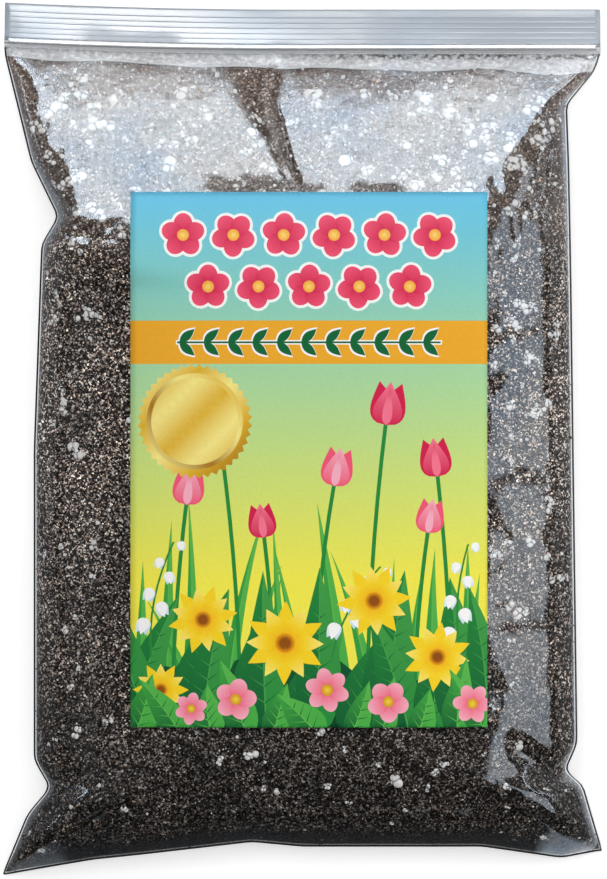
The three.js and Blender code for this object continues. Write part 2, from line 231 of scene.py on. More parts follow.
# Folds of the front wall: those of the part's source, from one (s, t) to another, with the rise,
# the width to each side at both ends, and the widths to the right where they differ
FOLDS = [
    (-0.13, 1.02, -0.05, 0.845, -9, 20, 5, 8, 3),
    (-1.0, 0.985, -0.99, 0.885, -5, 9, 23),
    (-0.99, 0.885, -1.0, 0.775, -5, 23, 8),
    (1.0, 0.95, 0.86, 0.8, -5, 7, 28),
    (-0.99, 0.772, -0.8, 0.765, -4, 7, 6),
    (-0.97, 0.08, -0.72, 0.05, -5, 9, 9),
    (0.98, 0.1, 0.74, 0.14, -5, 9, 9),
    (0.96, 0.46, 0.7, 0.48, -2.5, 11, 11),
    (0.96, 0.29, 0.68, 0.3, -2.5, 11, 11),
]


def fold_rise(s, t, folds):
    total = np.zeros_like(s)
    for s0, t0, s1, t1, rise, *widths in folds:
        run_x, run_y = (s1 - s0) * HALF_WIDTH, (t1 - t0) * BODY_LENGTH
        at_x, at_y = (s - s0) * HALF_WIDTH, (t - t0) * BODY_LENGTH
        length = math.hypot(run_x, run_y)
        along = (at_x * run_x + at_y * run_y) / length**2
        off = (at_y * run_x - at_x * run_y) / length
        width = np.where(off < 0, lerp(*widths[:2], clamp(along)), lerp(*widths[-2:], clamp(along)))
        across = np.maximum(0, 1 - np.abs(off) / width) ** FOLD_ROUND
        begin = ease(along + FOLD_FADE, 2 * FOLD_FADE)
        end = ease(1 + FOLD_FADE - along, 2 * FOLD_FADE)
        total += rise * across * begin * end
    return total


def walls(s, t):
    """Inside faces of the film: x, y, front height, back height, and how full the front is."""
    x, y, span = place(s, t)
    length = zip_edge(s * HALF_WIDTH) - bottom_edge(s * HALF_WIDTH)
    up = t * length
    down = length - up
    aside = (1 - np.abs(s)) * span / 2

    end_seal = lerp(EAR_HEIGHT, END_HEIGHT, ease(1 - np.abs(s), EAR_SHARE))
    side_seal = lerp(end_seal, SIDE_HEIGHT, ease(up, BOTTOM_RUN))
    seal = lerp(ZIP_HEIGHT, side_seal, ease(down, TOP_RUN))

    head = np.where(s < 0, ease(down / TOP_RUN - SHOULDER_HOLD, 1 - SHOULDER_HOLD), ease(down / TOP_RUN, 1))
    top_square = np.where(s < 0, LEFT_SQUARE, END_SQUARE)
    end_square = lerp(END_SQUARE, BODY_SQUARE, ease(up / BOTTOM_RUN, 1))
    square = lerp(top_square, end_square, head)
    side_slope = np.sqrt(np.maximum(0, 1 - np.abs(s) ** square))
    bottom_slope = (1 - (1 - clamp(up / BOTTOM_RUN)) ** 2) ** BOTTOM_ROUND
    zip_slope = 1 - (1 - clamp(down / TOP_RUN)) ** 2
    lack = (1 - side_slope) ** HIP + (1 - bottom_slope) ** HIP + (1 - zip_slope) ** HIP
    filled = np.maximum(0, 1 - lack ** (1 / HIP))
    folds = fold_rise(s, t, FOLDS) * ease(filled, SEAL_FADE)
    front = seal + POCKET / 2 + (FILL_HEIGHT - FILM - seal - POCKET / 2) * filled + folds

    def turn(distance, run):
        return 1 - np.sqrt(1 - (1 - clamp(distance / run)) ** 2)

    lift = turn(aside, BACK_SIDE_RUN) ** 2 + turn(up, BACK_END_RUN) ** 2 + turn(down, BACK_END_RUN) ** 2
    back = FILM + (seal - POCKET / 2 - FILM) * np.minimum(1, np.sqrt(lift))
    least = POCKET + (CORNER_FILL + FILL_GAP) * ease(np.minimum(np.minimum(aside, up), down), SEAL_RUN)
    return x, y, np.maximum(front, back + least), back, filled


# Noise for wrinkles and grains, and the seeds of all that is random
NOISE_SIZE = 256
WAVE_SEED = 11
DIMPLE_SEED = 23
LIP_SEED = 5
HEAD_SEED = 61
RAGGED_SEED = 77
BOTTOM_SHADE_SEED = 83
SOIL_SEED = 40
GRAIN_SEED = 3
BED_SEED = 8
WANDERS = 4.0  # waves of slow noise over half the width


def gradient_noise(x, y, seed):
    draws = np.random.RandomState(seed)
    table = draws.permutation(NOISE_SIZE)
    turns = draws.uniform(0, 2 * math.pi, NOISE_SIZE)
    xi, yi = np.floor(x).astype(int), np.floor(y).astype(int)
    xf, yf = x - xi, y - yi

    def corner(dx, dy):
        turn = turns[table[(table[(xi + dx) % NOISE_SIZE] + yi + dy) % NOISE_SIZE]]
        return np.cos(turn) * (xf - dx) + np.sin(turn) * (yf - dy)

    u, v = xf**3 * (xf * (xf * 6 - 15) + 10), yf**3 * (yf * (yf * 6 - 15) + 10)
    return lerp(lerp(corner(0, 0), corner(1, 0), u), lerp(corner(0, 1), corner(1, 1), u), v)


def layered_noise(x, y, seed, layers):
    return sum(gradient_noise(x * 2**i, y * 2**i, seed + i) / 2**i for i in range(layers))


def wander(s, seed):
    """Slow noise across the bag."""
    return gradient_noise(s * WANDERS, np.zeros_like(s), seed)


# Finer creases of the film, which only the render has
CREASES = [
    (0.97, 0.985, 0.9, 0.9, 0.8, 4, 4),
    (0.68, 0.84, 0.6, 0.74, 1.0, 4, 4),
    (0.74, 0.85, 0.8, 0.76, 1.0, 4, 4),
    (-0.75, 0.83, -0.35, 0.82, -1.2, 7, 7),
    (-0.35, 0.825, 0.0, 0.83, -1.6, 7, 7),
    (0.15, 0.83, 0.32, 0.83, -1.6, 7, 7),
    (0.7, 0.42, 0.95, 0.38, 1.0, 6, 6),
    (0.68, 0.58, 0.95, 0.6, 1.0, 6, 6),
    (0.7, 0.22, 0.95, 0.2, 1.0, 5, 5),
    (-0.95, 0.6, -0.75, 0.62, -1.0, 6, 6),
    (-0.95, 0.4, -0.75, 0.38, -0.8, 6, 6),
    (-0.95, 0.2, -0.72, 0.17, 1.0, 6, 6),
    (-0.93, 0.02, -0.6, 0.1, 1.2, 4, 4),
    (0.93, 0.02, 0.6, 0.1, 1.2, 4, 4),
    (-0.3, 0.01, -0.35, 0.09, -0.8, 5, 5),
    (0.25, 0.01, 0.3, 0.1, -0.8, 5, 5),
    (0.0, 0.01, -0.02, 0.08, 0.8, 5, 5),
]
WAVE = 0.7  # height of the film's soft waves
WAVE_LENGTH = 26.0
DIMPLE = 0.22  # height of the dimples that the grains press into the film
DIMPLE_LENGTH = 5.0
LABEL_STIFF = 7.0  # distance outside the label within which it keeps the film smooth


def label_near(x, y):
    """1 under the label, falling to 0 outside it."""
    out_x = np.abs(x - LABEL_RIGHT) - LABEL_WIDTH / 2
    out_y = np.abs(y - LABEL_UP) - LABEL_LENGTH / 2
    return 1 - ease(np.maximum(out_x, out_y), LABEL_STIFF)


def film_detail(x, y, s, t, filled):
    wave = WAVE * layered_noise(x / WAVE_LENGTH, y / WAVE_LENGTH, WAVE_SEED, 2)
    dimple = DIMPLE * layered_noise(x / DIMPLE_LENGTH, y / DIMPLE_LENGTH, DIMPLE_SEED, 2)
    crease = fold_rise(s, t, CREASES)
    return (wave + dimple + crease) * (1 - label_near(x, y)) * ease(filled, SEAL_FADE)


def front_height(s, t):
    """x, y, front height with the finer creases, and back height."""
    x, y, front, back, filled = walls(s, t)
    return x, y, np.maximum(front + film_detail(x, y, s, t, filled), back + POCKET), back


SLOPE_STEP = 1e-3
LEAST_NORMAL = 1e-12


def wall_point(s, t, side, outside):
    """Points a given distance outside the front (side 1) or back (side -1) wall, with normals."""

    def point(s1, t1):
        x, y, front, back = front_height(clamp(s1, -1, 1), clamp(t1))
        return np.stack([x, y, front if side > 0 else back], axis=-1)

    across = point(s + SLOPE_STEP, t) - point(s - SLOPE_STEP, t)
    along = point(s, t + SLOPE_STEP) - point(s, t - SLOPE_STEP)
    normal = np.cross(across, along)
    normal /= np.maximum(np.linalg.norm(normal, axis=-1, keepdims=True), LEAST_NORMAL)
    at_seal = (np.abs(s) >= 1) | (t <= 0) | (t >= 1)
    normal[at_seal] = (0, 0, 1)
    normal *= side
    return point(s, t) + normal * np.asarray(outside)[..., None], normal


def to_frame(points):
    """Millimetres of the bag's own plan to metres of the part's frame."""
    return (np.asarray(points) + (SHIFT_X, SHIFT_Y, 0)) * MM


# Meshes
FOOT_CROWDING = 1.7
HEAD_CROWDING = 1.15
LIP_STEPS = 90
LIP_RIPPLE = 0.5
RIPPLE_LENGTH = 31.0
RIPPLE_RISE = 40.0


def add_mesh(name, points, faces, smooth=True):
    mesh = bpy.data.meshes.new(name)
    mesh.from_pydata(to_frame(points).tolist(), [], faces)
    mesh.polygons.foreach_set("use_smooth", [smooth] * len(mesh.polygons))
    mesh.update()
    piece = bpy.data.objects.new(name, mesh)
    bpy.context.scene.collection.objects.link(piece)
    return piece


def grid_faces(columns, rows, first=0, flip=False):
    """Quads of a grid of points that is rows by columns."""
    at = np.arange(rows * columns).reshape(rows, columns) + first
    quads = np.stack([at[:-1, :-1], at[:-1, 1:], at[1:, 1:], at[1:, :-1]], axis=-1).reshape(-1, 4)
    return (quads[:, ::-1] if flip else quads).tolist()


def rim(columns, rows):
    """Indices round the edge of a grid, anticlockwise."""
    at = np.arange(rows * columns).reshape(rows, columns)
    return np.concatenate([at[0, :-1], at[:-1, -1], at[-1, :0:-1], at[:0:-1, 0]])


def pillow(front, back):
    """Points and faces of a closed skin from a front and a back grid."""
    rows, columns = front.shape[:2]
    count = rows * columns
    edge = rim(columns, rows)
    faces = grid_faces(columns, rows) + grid_faces(columns, rows, count, flip=True)
    nxt = np.roll(edge, -1)
    faces += np.stack([edge, edge + count, nxt + count, nxt], axis=-1).tolist()
    return np.concatenate([front.reshape(-1, 3), back.reshape(-1, 3)]), faces


def crowded(count, crowding):
    """Columns from -1 to 1, closer together near the two sides."""
    line = np.linspace(-1, 1, count + 1)
    return lerp(line, np.sin(line * math.pi / 2), crowding)


def lengthwise(bottom, middle, top):
    """Rows from bottom to top, close together near the two ends."""
    low, high = BOTTOM_RUN / BODY_LENGTH, 1 - TOP_RUN / BODY_LENGTH
    start = low * np.linspace(0, 1, bottom + 1) ** FOOT_CROWDING
    body = np.linspace(low, high, middle + 1)[1:]
    end = 1 - (1 - high) * np.linspace(1, 0, top + 1)[1:] ** HEAD_CROWDING
    return np.concatenate([start, body, end])


def swept(profile):
    """A closed profile of (above the body, depth), drawn along the zip as the lips lie."""
    across = np.linspace(-HALF_WIDTH - SIDE_SEAL, HALF_WIDTH + SIDE_SEAL, LIP_STEPS + 1)
    points = []
    for x in across:
        inside = clamp(x / HALF_WIDTH, -1, 1)
        drop = lerp(LIP_DROP_LEFT, LIP_DROP_RIGHT, (inside + 1) / 2)
        for above, depth in profile:
            wave = gradient_noise(np.array(x / RIPPLE_LENGTH), np.array(above / RIPPLE_RISE), LIP_SEED)
            ripple = LIP_RIPPLE * float(wave) * ease(above - ZIP_UP, LIP_HEIGHT)
            z = ZIP_HEIGHT + depth - drop * above / LIP_HEIGHT + ripple
            points.append((x, zip_edge(x) + above, z))
    around = len(profile)
    faces = []
    for first in range(0, LIP_STEPS * around, around):
        for j in range(around):
            k = (j + 1) % around
            faces.append((first + j, first + k, first + around + k, first + around + j))
    faces.append(tuple(range(around - 1, -1, -1)))
    faces.append(tuple(LIP_STEPS * around + j for j in range(around)))
    return points, faces


def joined(parts):
    """Several (points, faces) as one."""
    points, faces = [], []
    for some, own in parts:
        first = len(points)
        points.extend(np.asarray(some).tolist())
        faces.extend([i + first for i in face] for face in own)
    return points, faces


BARE_HEAD = 5.6  # film without soil behind it, below the zip
BARE_LEAN = 2.0
BARE_WANDER = 2.5
LEAST_BARE = 2.0


def soil_top(s):
    """How far up the soil reaches: it ends unevenly below the zip."""
    bare = BARE_HEAD + BARE_LEAN * s + BARE_WANDER * wander(s, HEAD_SEED)
    return 1 - np.maximum(LEAST_BARE, bare) / BODY_LENGTH


# Film: the envelope, then the two lips with the zip
FILM_COLUMNS = 150
FILM_ROWS = (44, 76, 110)
FILM_CROWDING = 0.75
s_film = np.concatenate([[-1], crowded(FILM_COLUMNS, FILM_CROWDING), [1]])
t_film = np.concatenate([[0], lengthwise(*FILM_ROWS)])
s_grid, t_grid = np.meshgrid(s_film, t_film)
film_walls = []
for side in (1, -1):
    points, _ = wall_point(s_grid, t_grid, side, FILM)
    points[:, 0, 0] -= SIDE_SEAL
    points[:, -1, 0] += SIDE_SEAL
    points[0, :, 1] -= BOTTOM_SEAL
    film_walls.append(points)
envelope = pillow(*film_walls)

OVERLAP = 1.0
RIB_POINTS = 6
RIB_HOLD = 0.12  # beside each rib, so that the film between ribs shades flat
slack = ZIP_SLACK / 2
face = slack + LIP
head_foot = slack + ZIP_NECK_RISE
head_top = head_foot + ZIP_HEAD_RISE


def ribs(sign):
    """The outer side of one lip, from its foot to its top edge, with rounded ribs."""
    line = []
    for i in range(RIB_COUNT - 1, -1, -1):
        middle = LIP_HEIGHT - FIRST_RIB - i * RIB_PITCH
        line.append((middle - RIB_WIDTH / 2 - RIB_HOLD, sign * face))
        for turn in np.linspace(0, math.pi, RIB_POINTS):
            rise = RIB_HEIGHT * math.sin(turn)
            line.append((middle - RIB_WIDTH / 2 * math.cos(turn), sign * (face + rise)))
        line.append((middle + RIB_WIDTH / 2 + RIB_HOLD, sign * face))
    return line


def both_sides(*half):
    """A profile on both sides of the zip's middle line, from points of (off the line, depth)."""
    below = [(ZIP_UP - off, depth) for off, depth in half]
    above = [(ZIP_UP + off, depth) for off, depth in half]
    return below + above[::-1]


stem, head = ZIP_STEM / 2, ZIP_HEAD / 2
jaw, hollow = stem + ZIP_SLACK, head + ZIP_SLACK
jaw_top, hollow_top = head_foot - ZIP_SLACK, head_top + ZIP_SLACK
channel_half, channel_top = hollow + ZIP_WALL, hollow_top + ZIP_WALL
inside_channel = both_sides((jaw, slack), (jaw, jaw_top), (hollow, jaw_top), (hollow, hollow_top))
outside_channel = both_sides(
    (channel_half + ZIP_WALL, face),
    (channel_half, channel_top - ZIP_WALL),
    (channel_half - ZIP_WALL, channel_top),
)
rib_of_zip = both_sides((stem, -slack), (stem, head_foot), (head, head_foot), (stem, head_top))
front_lip = [
    (-OVERLAP, slack),
    *inside_channel,
    (LIP_HEIGHT, slack),
    (LIP_HEIGHT, face),
    *ribs(1)[::-1],
    *outside_channel[::-1],
    (-OVERLAP, face),
]
back_lip = [
    (-OVERLAP, -face),
    *ribs(-1),
    (LIP_HEIGHT, -face),
    (LIP_HEIGHT, -slack),
    *rib_of_zip[::-1],
    (-OVERLAP, -slack),
]
envelope_faces = len(envelope[1])
bag = add_mesh("clear_bag_film", *joined([envelope, swept(front_lip), swept(back_lip)]))

# Which of the film's four materials each of its faces has
WALL, LIPS, ZIP, SEAL = range(4)
columns_of_film, rows_of_film = len(s_film) - 1, len(t_film) - 1
wall_faces = columns_of_film * rows_of_film
film_look = np.full(len(bag.data.polygons), WALL)
for first in (0, wall_faces):
    of_wall = film_look[first:first + wall_faces].reshape(rows_of_film, columns_of_film)
    of_wall[:, [0, -1]] = SEAL
    of_wall[0] = SEAL
film_look[2 * wall_faces:envelope_faces] = SEAL
film_look[envelope_faces:] = LIPS
lip_middles = np.array([p.center[:] for p in bag.data.polygons[envelope_faces:]]) / MM
lip_middles -= (SHIFT_X, SHIFT_Y, 0)
in_zip = lip_middles[:, 1] - zip_edge(lip_middles[:, 0]) < ZIP_UP + channel_half + ZIP_WALL
film_look[envelope_faces:][in_zip] = ZIP
bag.data.polygons.foreach_set("material_index", film_look.tolist())

# Looks of the front film: strips like folds, from one (s, t) to another, with 1 and the widths
DENT_CLING = [(-0.14, 1.01, -0.05, 0.852, 1, 29, 3, 10, 2)]
PRESSED = [
    (-0.38, 0.827, 0.03, 0.826, 1, 9.0, 7.0),
    (0.17, 0.823, 0.36, 0.823, 1, 6.0, 5.0),
    (0.71, 0.641, 0.87, 0.655, 1, 5.0, 3.0),
    (0.69, 0.453, 0.80, 0.477, 1, 7.0, 5.5),
    (0.80, 0.477, 0.92, 0.464, 1, 5.5, 4.0),
    (0.72, 0.282, 0.89, 0.292, 1, 5.5, 4.0),
]
HALF_PRESSED = [(-0.02, 0.968, 0.42, 0.955, 1, 13.0, 9.0)]
HALF_CLING = 0.55
RAGGED_LENGTH = 7.0
BOTTOM_SHADE = 7.5  # height of the painted shade along the bottom edge, where the film turns under the bag
BOTTOM_SHADE_WANDER = 5.0
BOTTOM_SHADE_BLUR = 0.3
BOTTOM_SHADE_END = 0.97
BOTTOM_SHADE_END_BLUR = 0.12
DIRT = 3.4  # reach of the dark dust below the zip
DIRT_BLUR = 1.6
DIRT_FROM = -0.15
DIRT_FROM_BLUR = 0.4
BARE_OVERLAP = 1.0  # of the bare film with the soil
BARE_BLUR = 1.5
x_grid, y_grid, _ = place(s_grid, t_grid)
ragged = layered_noise(x_grid / RAGGED_LENGTH, y_grid / RAGGED_LENGTH, RAGGED_SEED, 2)


def clinging(strips, rag, start, blur):
    """1 where the film clings to the soil along strips, which have a ragged edge."""
    return ease(fold_rise(s_grid, t_grid, strips) + rag * ragged - start, blur)


def point_look(piece, name, values):
    """A value from 0 to 1 for the first points of a piece. Its other points have 0."""
    every = np.zeros(len(piece.data.vertices))
    every[:values.size] = values.ravel()
    piece.data.attributes.new(name, "FLOAT", "POINT").data.foreach_set("value", every)


# Painted shade along the bottom edge, where the film turns under the bag
bottom_shade = BOTTOM_SHADE + BOTTOM_SHADE_WANDER * wander(s_grid, BOTTOM_SHADE_SEED)
bottom_shade_ends = ease(BOTTOM_SHADE_END - np.abs(s_grid), BOTTOM_SHADE_END_BLUR)
dirt_side = ease(s_grid - DIRT_FROM, DIRT_FROM_BLUR)
point_look(bag, "cling", np.max([
    clinging(DENT_CLING, rag=0.15, start=0.0, blur=0.36),
    clinging(PRESSED, rag=0.5, start=0.25, blur=0.25),
    clinging(HALF_PRESSED, rag=0.6, start=0.1, blur=0.5) * HALF_CLING,
], axis=0))
point_look(bag, "bottom_shade", ease(1.0 - t_grid * BODY_LENGTH / bottom_shade, BOTTOM_SHADE_BLUR) * bottom_shade_ends)
point_look(bag, "dirt", ease((t_grid - 1) * BODY_LENGTH + DIRT, DIRT_BLUR) * dirt_side)
point_look(bag, "bare", ease((t_grid - soil_top(s_grid)) * BODY_LENGTH + BARE_OVERLAP, BARE_BLUR))

# Soil: a rough closed mass, perlite in it, and crumbs and grit all over what shows
SOIL_COLUMNS = 170
SOIL_ROWS = (44, 120, 90)
SOIL_CROWDING = 0.6
SOIL_SIDE = 0.999  # where it ends beside the side seals
SOIL_FOOT = 0.0008  # where it starts above the bottom seal
SOIL_DEPTH = 1.3  # of the mass below the film, which the crumbs fill
SOIL_ROUGH = 0.9
SOIL_GRAIN = 3.2
BACK_SHARE = 0.5  # of that depth, at the back
EDGE_SHARE = 0.05  # of that depth, at the seals
EDGE_RUN = 9.0
MASS_PARTS = 3  # the mass lies at most one of these parts of the bag's height below the film


def hollow_of(x, y):
    """Depth of the soil below the film: 0 on a lump, most between lumps."""
    across = x + LUMP_WANDER * np.sin(y / LUMP_LENGTH)
    along = y + LUMP_WANDER * np.sin(x / LUMP_WIDTH)
    wave = np.cos(2 * math.pi * across / LUMP_WIDTH) * np.cos(2 * math.pi * along / LUMP_LENGTH)
    return LUMP_DEPTH * (1 - wave) / 2


def from_sides(s, t):
    """Distance from the nearer side seal."""
    _, _, span = place(s, t)
    return (1 - np.abs(s)) * span / 2


def edge_share(s, t):
    """1 inside the bag, falling towards the seals, where the soil keeps close to the film."""
    return lerp(EDGE_SHARE, 1.0, ease(np.minimum(from_sides(s, t), t * BODY_LENGTH), EDGE_RUN))


def soil_point(s, t, side, depth):
    """Points a given depth under the soil's surface, which lies slack below the front film."""
    x, y, front, back = front_height(s, t)
    inside = np.minimum(from_sides(s, t), np.minimum(t, 1 - t) * BODY_LENGTH)
    room = MOST_SLACK * np.maximum(0, front - back - CORNER_FILL)
    fallen = np.minimum(hollow_of(x, y) * ease(inside, LUMP_FADE), room)
    points, normal = wall_point(s, t, side, -np.asarray(depth) - fallen)
    if side > 0:
        slack = HEAD_SPACE * ease(t - 1 + TOP_RUN / BODY_LENGTH, TOP_RUN / BODY_LENGTH)
        points[..., 2] -= np.minimum(slack, room)
    return points, normal


s_grid, t_grid = np.meshgrid(crowded(SOIL_COLUMNS, SOIL_CROWDING) * SOIL_SIDE, lengthwise(*SOIL_ROWS))
t_grid = lerp(SOIL_FOOT, soil_top(s_grid), t_grid)
x_grid, y_grid, front, back, _ = walls(s_grid, t_grid)
soil_walls = []
for side, share in ((1, 1), (-1, BACK_SHARE)):
    rough = SOIL_ROUGH * layered_noise(x_grid / SOIL_GRAIN, y_grid / SOIL_GRAIN, SOIL_SEED + side, 3)
    deep = (SOIL_DEPTH + rough) * edge_share(s_grid, t_grid) * share
    depth = np.minimum(FILL_GAP + deep, np.maximum(0, front - back) / MASS_PARTS)
    soil_walls.append(soil_point(s_grid, t_grid, side, depth)[0])
soil = add_mesh("soil_mass", *pillow(*soil_walls))


# Grains
def ball(subdivisions):
    """Points and triangles of a round ball of radius 1."""
    made = bmesh.new()
    bmesh.ops.create_icosphere(made, subdivisions=subdivisions, radius=1)
    made.verts.ensure_lookup_table()
    points = np.array([v.co[:] for v in made.verts])
    faces = np.array([[v.index for v in f.verts] for f in made.faces])
    made.free()
    return points, faces


OCTAHEDRON = (
    np.array([(1, 0, 0), (-1, 0, 0), (0, 1, 0), (0, -1, 0), (0, 0, 1), (0, 0, -1)], float),
    np.array([(0, 2, 4), (2, 1, 4), (1, 3, 4), (3, 0, 4), (2, 0, 5), (1, 2, 5), (3, 1, 5), (0, 3, 5)]),
)
TETRAHEDRON = (
    np.array([(1, 1, 1), (1, -1, -1), (-1, 1, -1), (-1, -1, 1)]) / math.sqrt(3),
    np.array([(0, 1, 2), (0, 3, 1), (0, 2, 3), (1, 3, 2)]),
)
STRETCH = 0.25  # of a grain along each of its axes
SPOT_SIDE = 0.998
SPOT_FOOT = 0.0015
SPOT_HEAD = 0.003
UNDER_LABEL = 9.0  # how far grains reach in under the label
TURNED_UP = 0.3  # where the back wall counts as its edge
rng = np.random.RandomState(GRAIN_SEED)


def turned(count):
    """Random rotations, one matrix each."""
    q = rng.normal(size=(count, 4))
    q /= np.linalg.norm(q, axis=1, keepdims=True)
    w, x, y, z = q.T
    return np.stack([
        np.stack([1 - 2 * (y * y + z * z), 2 * (x * y - z * w), 2 * (x * z + y * w)], axis=-1),
        np.stack([2 * (x * y + z * w), 1 - 2 * (x * x + z * z), 2 * (y * z - x * w)], axis=-1),
        np.stack([2 * (x * z - y * w), 2 * (y * z + x * w), 1 - 2 * (x * x + y * y)], axis=-1),
    ], axis=1)


def repeated(faces, copies, points):
    """The triangles of a form for each of its copies, which follow one another."""
    return (faces[None] + (np.arange(copies) * points)[:, None, None]).reshape(-1, 3).tolist()


def scattered(form, centres, sizes, uneven):
    """Copies of one form, each with its own size, turn and dents."""
    points, faces = form
    count = len(centres)
    shapes = points[None] * rng.uniform(1 - uneven, 1 + uneven, (count, len(points), 1))
    shapes = shapes * rng.uniform(1 - STRETCH, 1 + STRETCH, (count, 1, 3)) * sizes[:, None, None]
    shapes = np.einsum("nij,nvj->nvi", turned(count), shapes) + centres[:, None]
    return shapes.reshape(-1, 3), repeated(faces, count, len(points))


def spots(spacing, keep, top=soil_top):
    """Evenly scattered (s, t) over a wall, one in each cell of a jittered grid."""
    columns, rows = int(2 * HALF_WIDTH / spacing), int(BODY_LENGTH / spacing)
    s, t = np.meshgrid(np.arange(columns), np.arange(rows))
    s = (s + rng.uniform(0, 1, s.shape)) / columns * 2 - 1
    t = (t + rng.uniform(0, 1, t.shape)) / rows
    s = (s * SPOT_SIDE).ravel()
    t = lerp(SPOT_FOOT, top(s) - SPOT_HEAD, t.ravel())
    kept = keep(s, t)
    return s[kept], t[kept]


def in_the_open(s, t):
    """Not hidden under the label."""
    x, y, _ = place(s, t)
    outwards_x = np.sign(LABEL_RIGHT - x) * UNDER_LABEL
    outwards_y = np.sign(LABEL_UP - y) * UNDER_LABEL
    return label_near(x - outwards_x, y - outwards_y) < 1


def round_the_edge(s, t):
    """The part of the back wall that turns up towards the seals."""
    return walls(s, t)[3] > FILM + TURNED_UP


def rising(t, start, run, low, high):
    """From low to high as t goes on from start over a run."""
    return lerp(low, high, ease(t - start, run))


def chosen_spots(spacing, keep, *shares, **where):
    """Some of the spots: the shares, as rising() takes them, add up to the chance of each."""
    s, t = spots(spacing, keep, **where)
    chosen = rng.uniform(0, 1, len(s)) < sum(rising(t, *share) for share in shares)
    return s[chosen], t[chosen]


# Perlite lumps, which are more and larger in the head of the bag
LUMP_SPACING = 8.4
BACK_LUMP_SPACING = 13.0
LUMP_SHARES = ((0.1, 0.08, 0.1, 0.22), (0.76, 0.06, 0.0, 0.26))
LUMP_GROWTH = (0.1, 0.4, 0.62, 0.85)
HEAD_GROWTH = (0.7, 0.1, 1.0, 1.4)
# The painted shade of the lumps grows deeper in the head of the bag
HEAD_DEEPER_SHADE = (0.76, 0.06, 1.0, 0.72)
LUMP_SIZE = 0.76  # the logarithm of the middle size
LUMP_SPREAD = 0.34
LUMP_LIMITS = (0.7, 3.8)
LEAST_LUMP = 0.4
LUMP_PARTS = 4  # a lump takes at most one of these parts of the bag's height
LUMP_SIDE = 0.99
LUMP_FOOT = 0.01
LUMP_HEAD = 0.005
JOIN_ROUNDS = 2
JOIN_SHARE = 0.3
JOIN_SIZES = (0.6, 1.0)
JOIN_APART = 0.9
LUMP_BALLS = 4
BALL_SIZES = (0.38, 0.78)
BALL_SPREAD = 0.5
BALL_LEVEL = 0.75  # how far the balls are drawn level with the surface
SQUASH = 0.4
CREASE = 0.18
SHADE_START = 1.8
SHADE_DEPTH = 0.5
CLEARANCE = 1.2  # of the other grains, in sizes of a lump


def lump_places(spacing, keep):
    """Places and sizes of lumps, some of which have smaller ones beside them."""
    s, t = chosen_spots(spacing, keep, *LUMP_SHARES)
    sizes = np.exp(rng.normal(LUMP_SIZE, LUMP_SPREAD, len(s))) * rising(t, *LUMP_GROWTH)
    sizes = sizes * rising(t, *HEAD_GROWTH)
    for _ in range(JOIN_ROUNDS):
        joins = rng.uniform(0, 1, len(s)) < JOIN_SHARE
        turn = rng.uniform(0, 2 * math.pi, joins.sum())
        beside = sizes[joins] * rng.uniform(*JOIN_SIZES, joins.sum())
        apart = JOIN_APART * (sizes[joins] + beside)
        s = np.concatenate([s, s[joins] + np.cos(turn) * apart / HALF_WIDTH])
        t = np.concatenate([t, t[joins] + np.sin(turn) * apart / BODY_LENGTH])
        sizes = np.concatenate([sizes, beside])
    kept = (np.abs(s) < LUMP_SIDE) & (t > LUMP_FOOT) & (t < soil_top(s) - LUMP_HEAD)
    s, t, sizes = s[kept], t[kept], np.clip(sizes[kept], *LUMP_LIMITS)
    _, _, front, back, _ = walls(s, t)
    return s, t, np.minimum(sizes, np.maximum(LEAST_LUMP, (front - back) / LUMP_PARTS))


def popped(surface, normals, sizes, form):
    """Lumps of balls that touch a surface from below, and for painted shade how far each point stands out of
    the creases and how near it lies to the lump's top.
    """
    points, faces = form
    count = len(surface)
    offset = rng.normal(size=(count, LUMP_BALLS, 3))
    offset -= BALL_LEVEL * np.einsum("nbi,ni->nb", offset, normals)[..., None] * normals[:, None]
    offset *= (BALL_SPREAD * sizes)[:, None, None] / np.linalg.norm(offset, axis=2, keepdims=True)
    radius = sizes[:, None] * rng.uniform(*BALL_SIZES, (count, LUMP_BALLS))
    balls = points[None, None] * radius[:, :, None, None] + offset[:, :, None]
    apart = np.linalg.norm(balls[:, :, :, None] - offset[:, None, None], axis=4) - radius[:, None, None]
    apart[:, np.arange(LUMP_BALLS), :, np.arange(LUMP_BALLS)] = np.inf
    unshaded = clamp(apart.min(axis=3) / (CREASE * sizes)[:, None, None])
    balls -= SQUASH * np.einsum("nbpi,ni->nbp", balls, normals)[..., None] * normals[:, None, None]
    rise = np.einsum("nbpi,ni->nbp", balls, normals)
    highest = rise.max(axis=(1, 2))
    below = (highest[:, None, None] - rise) / (SHADE_DEPTH * sizes)[:, None, None]
    unshaded = np.minimum(unshaded, clamp(SHADE_START - below))
    centres = surface - normals * highest[:, None]
    shapes = balls + centres[:, None, None]
    triangles = repeated(faces, count * LUMP_BALLS, len(points))
    return shapes.reshape(-1, 3), triangles, unshaded.ravel(), centres


lumps, painted_shadings, lump_spots = [], [], []
for side, spacing, keep, form in (
    (1, LUMP_SPACING, in_the_open, ball(2)),
    (-1, BACK_LUMP_SPACING, round_the_edge, ball(1)),
):
    s, t, sizes = lump_places(spacing, keep)
    surface, normals = soil_point(s, t, side, FILL_GAP)
    points, faces, unshaded, centres = popped(surface, normals, sizes, form)
    lumps.append((points, faces))
    # Painted shade of each point, deeper in the head of the bag
    painted_shadings.append(unshaded * np.repeat(rising(t, *HEAD_DEEPER_SHADE), len(unshaded) // len(t)))
    lump_spots.extend(zip(centres, sizes))
perlite = add_mesh("perlite", *joined(lumps))
point_look(perlite, "painted_shading", np.concatenate(painted_shadings))

lump_tree = KDTree(len(lump_spots))
for i, (centre, _) in enumerate(lump_spots):
    lump_tree.insert(centre, i)
lump_tree.balance()


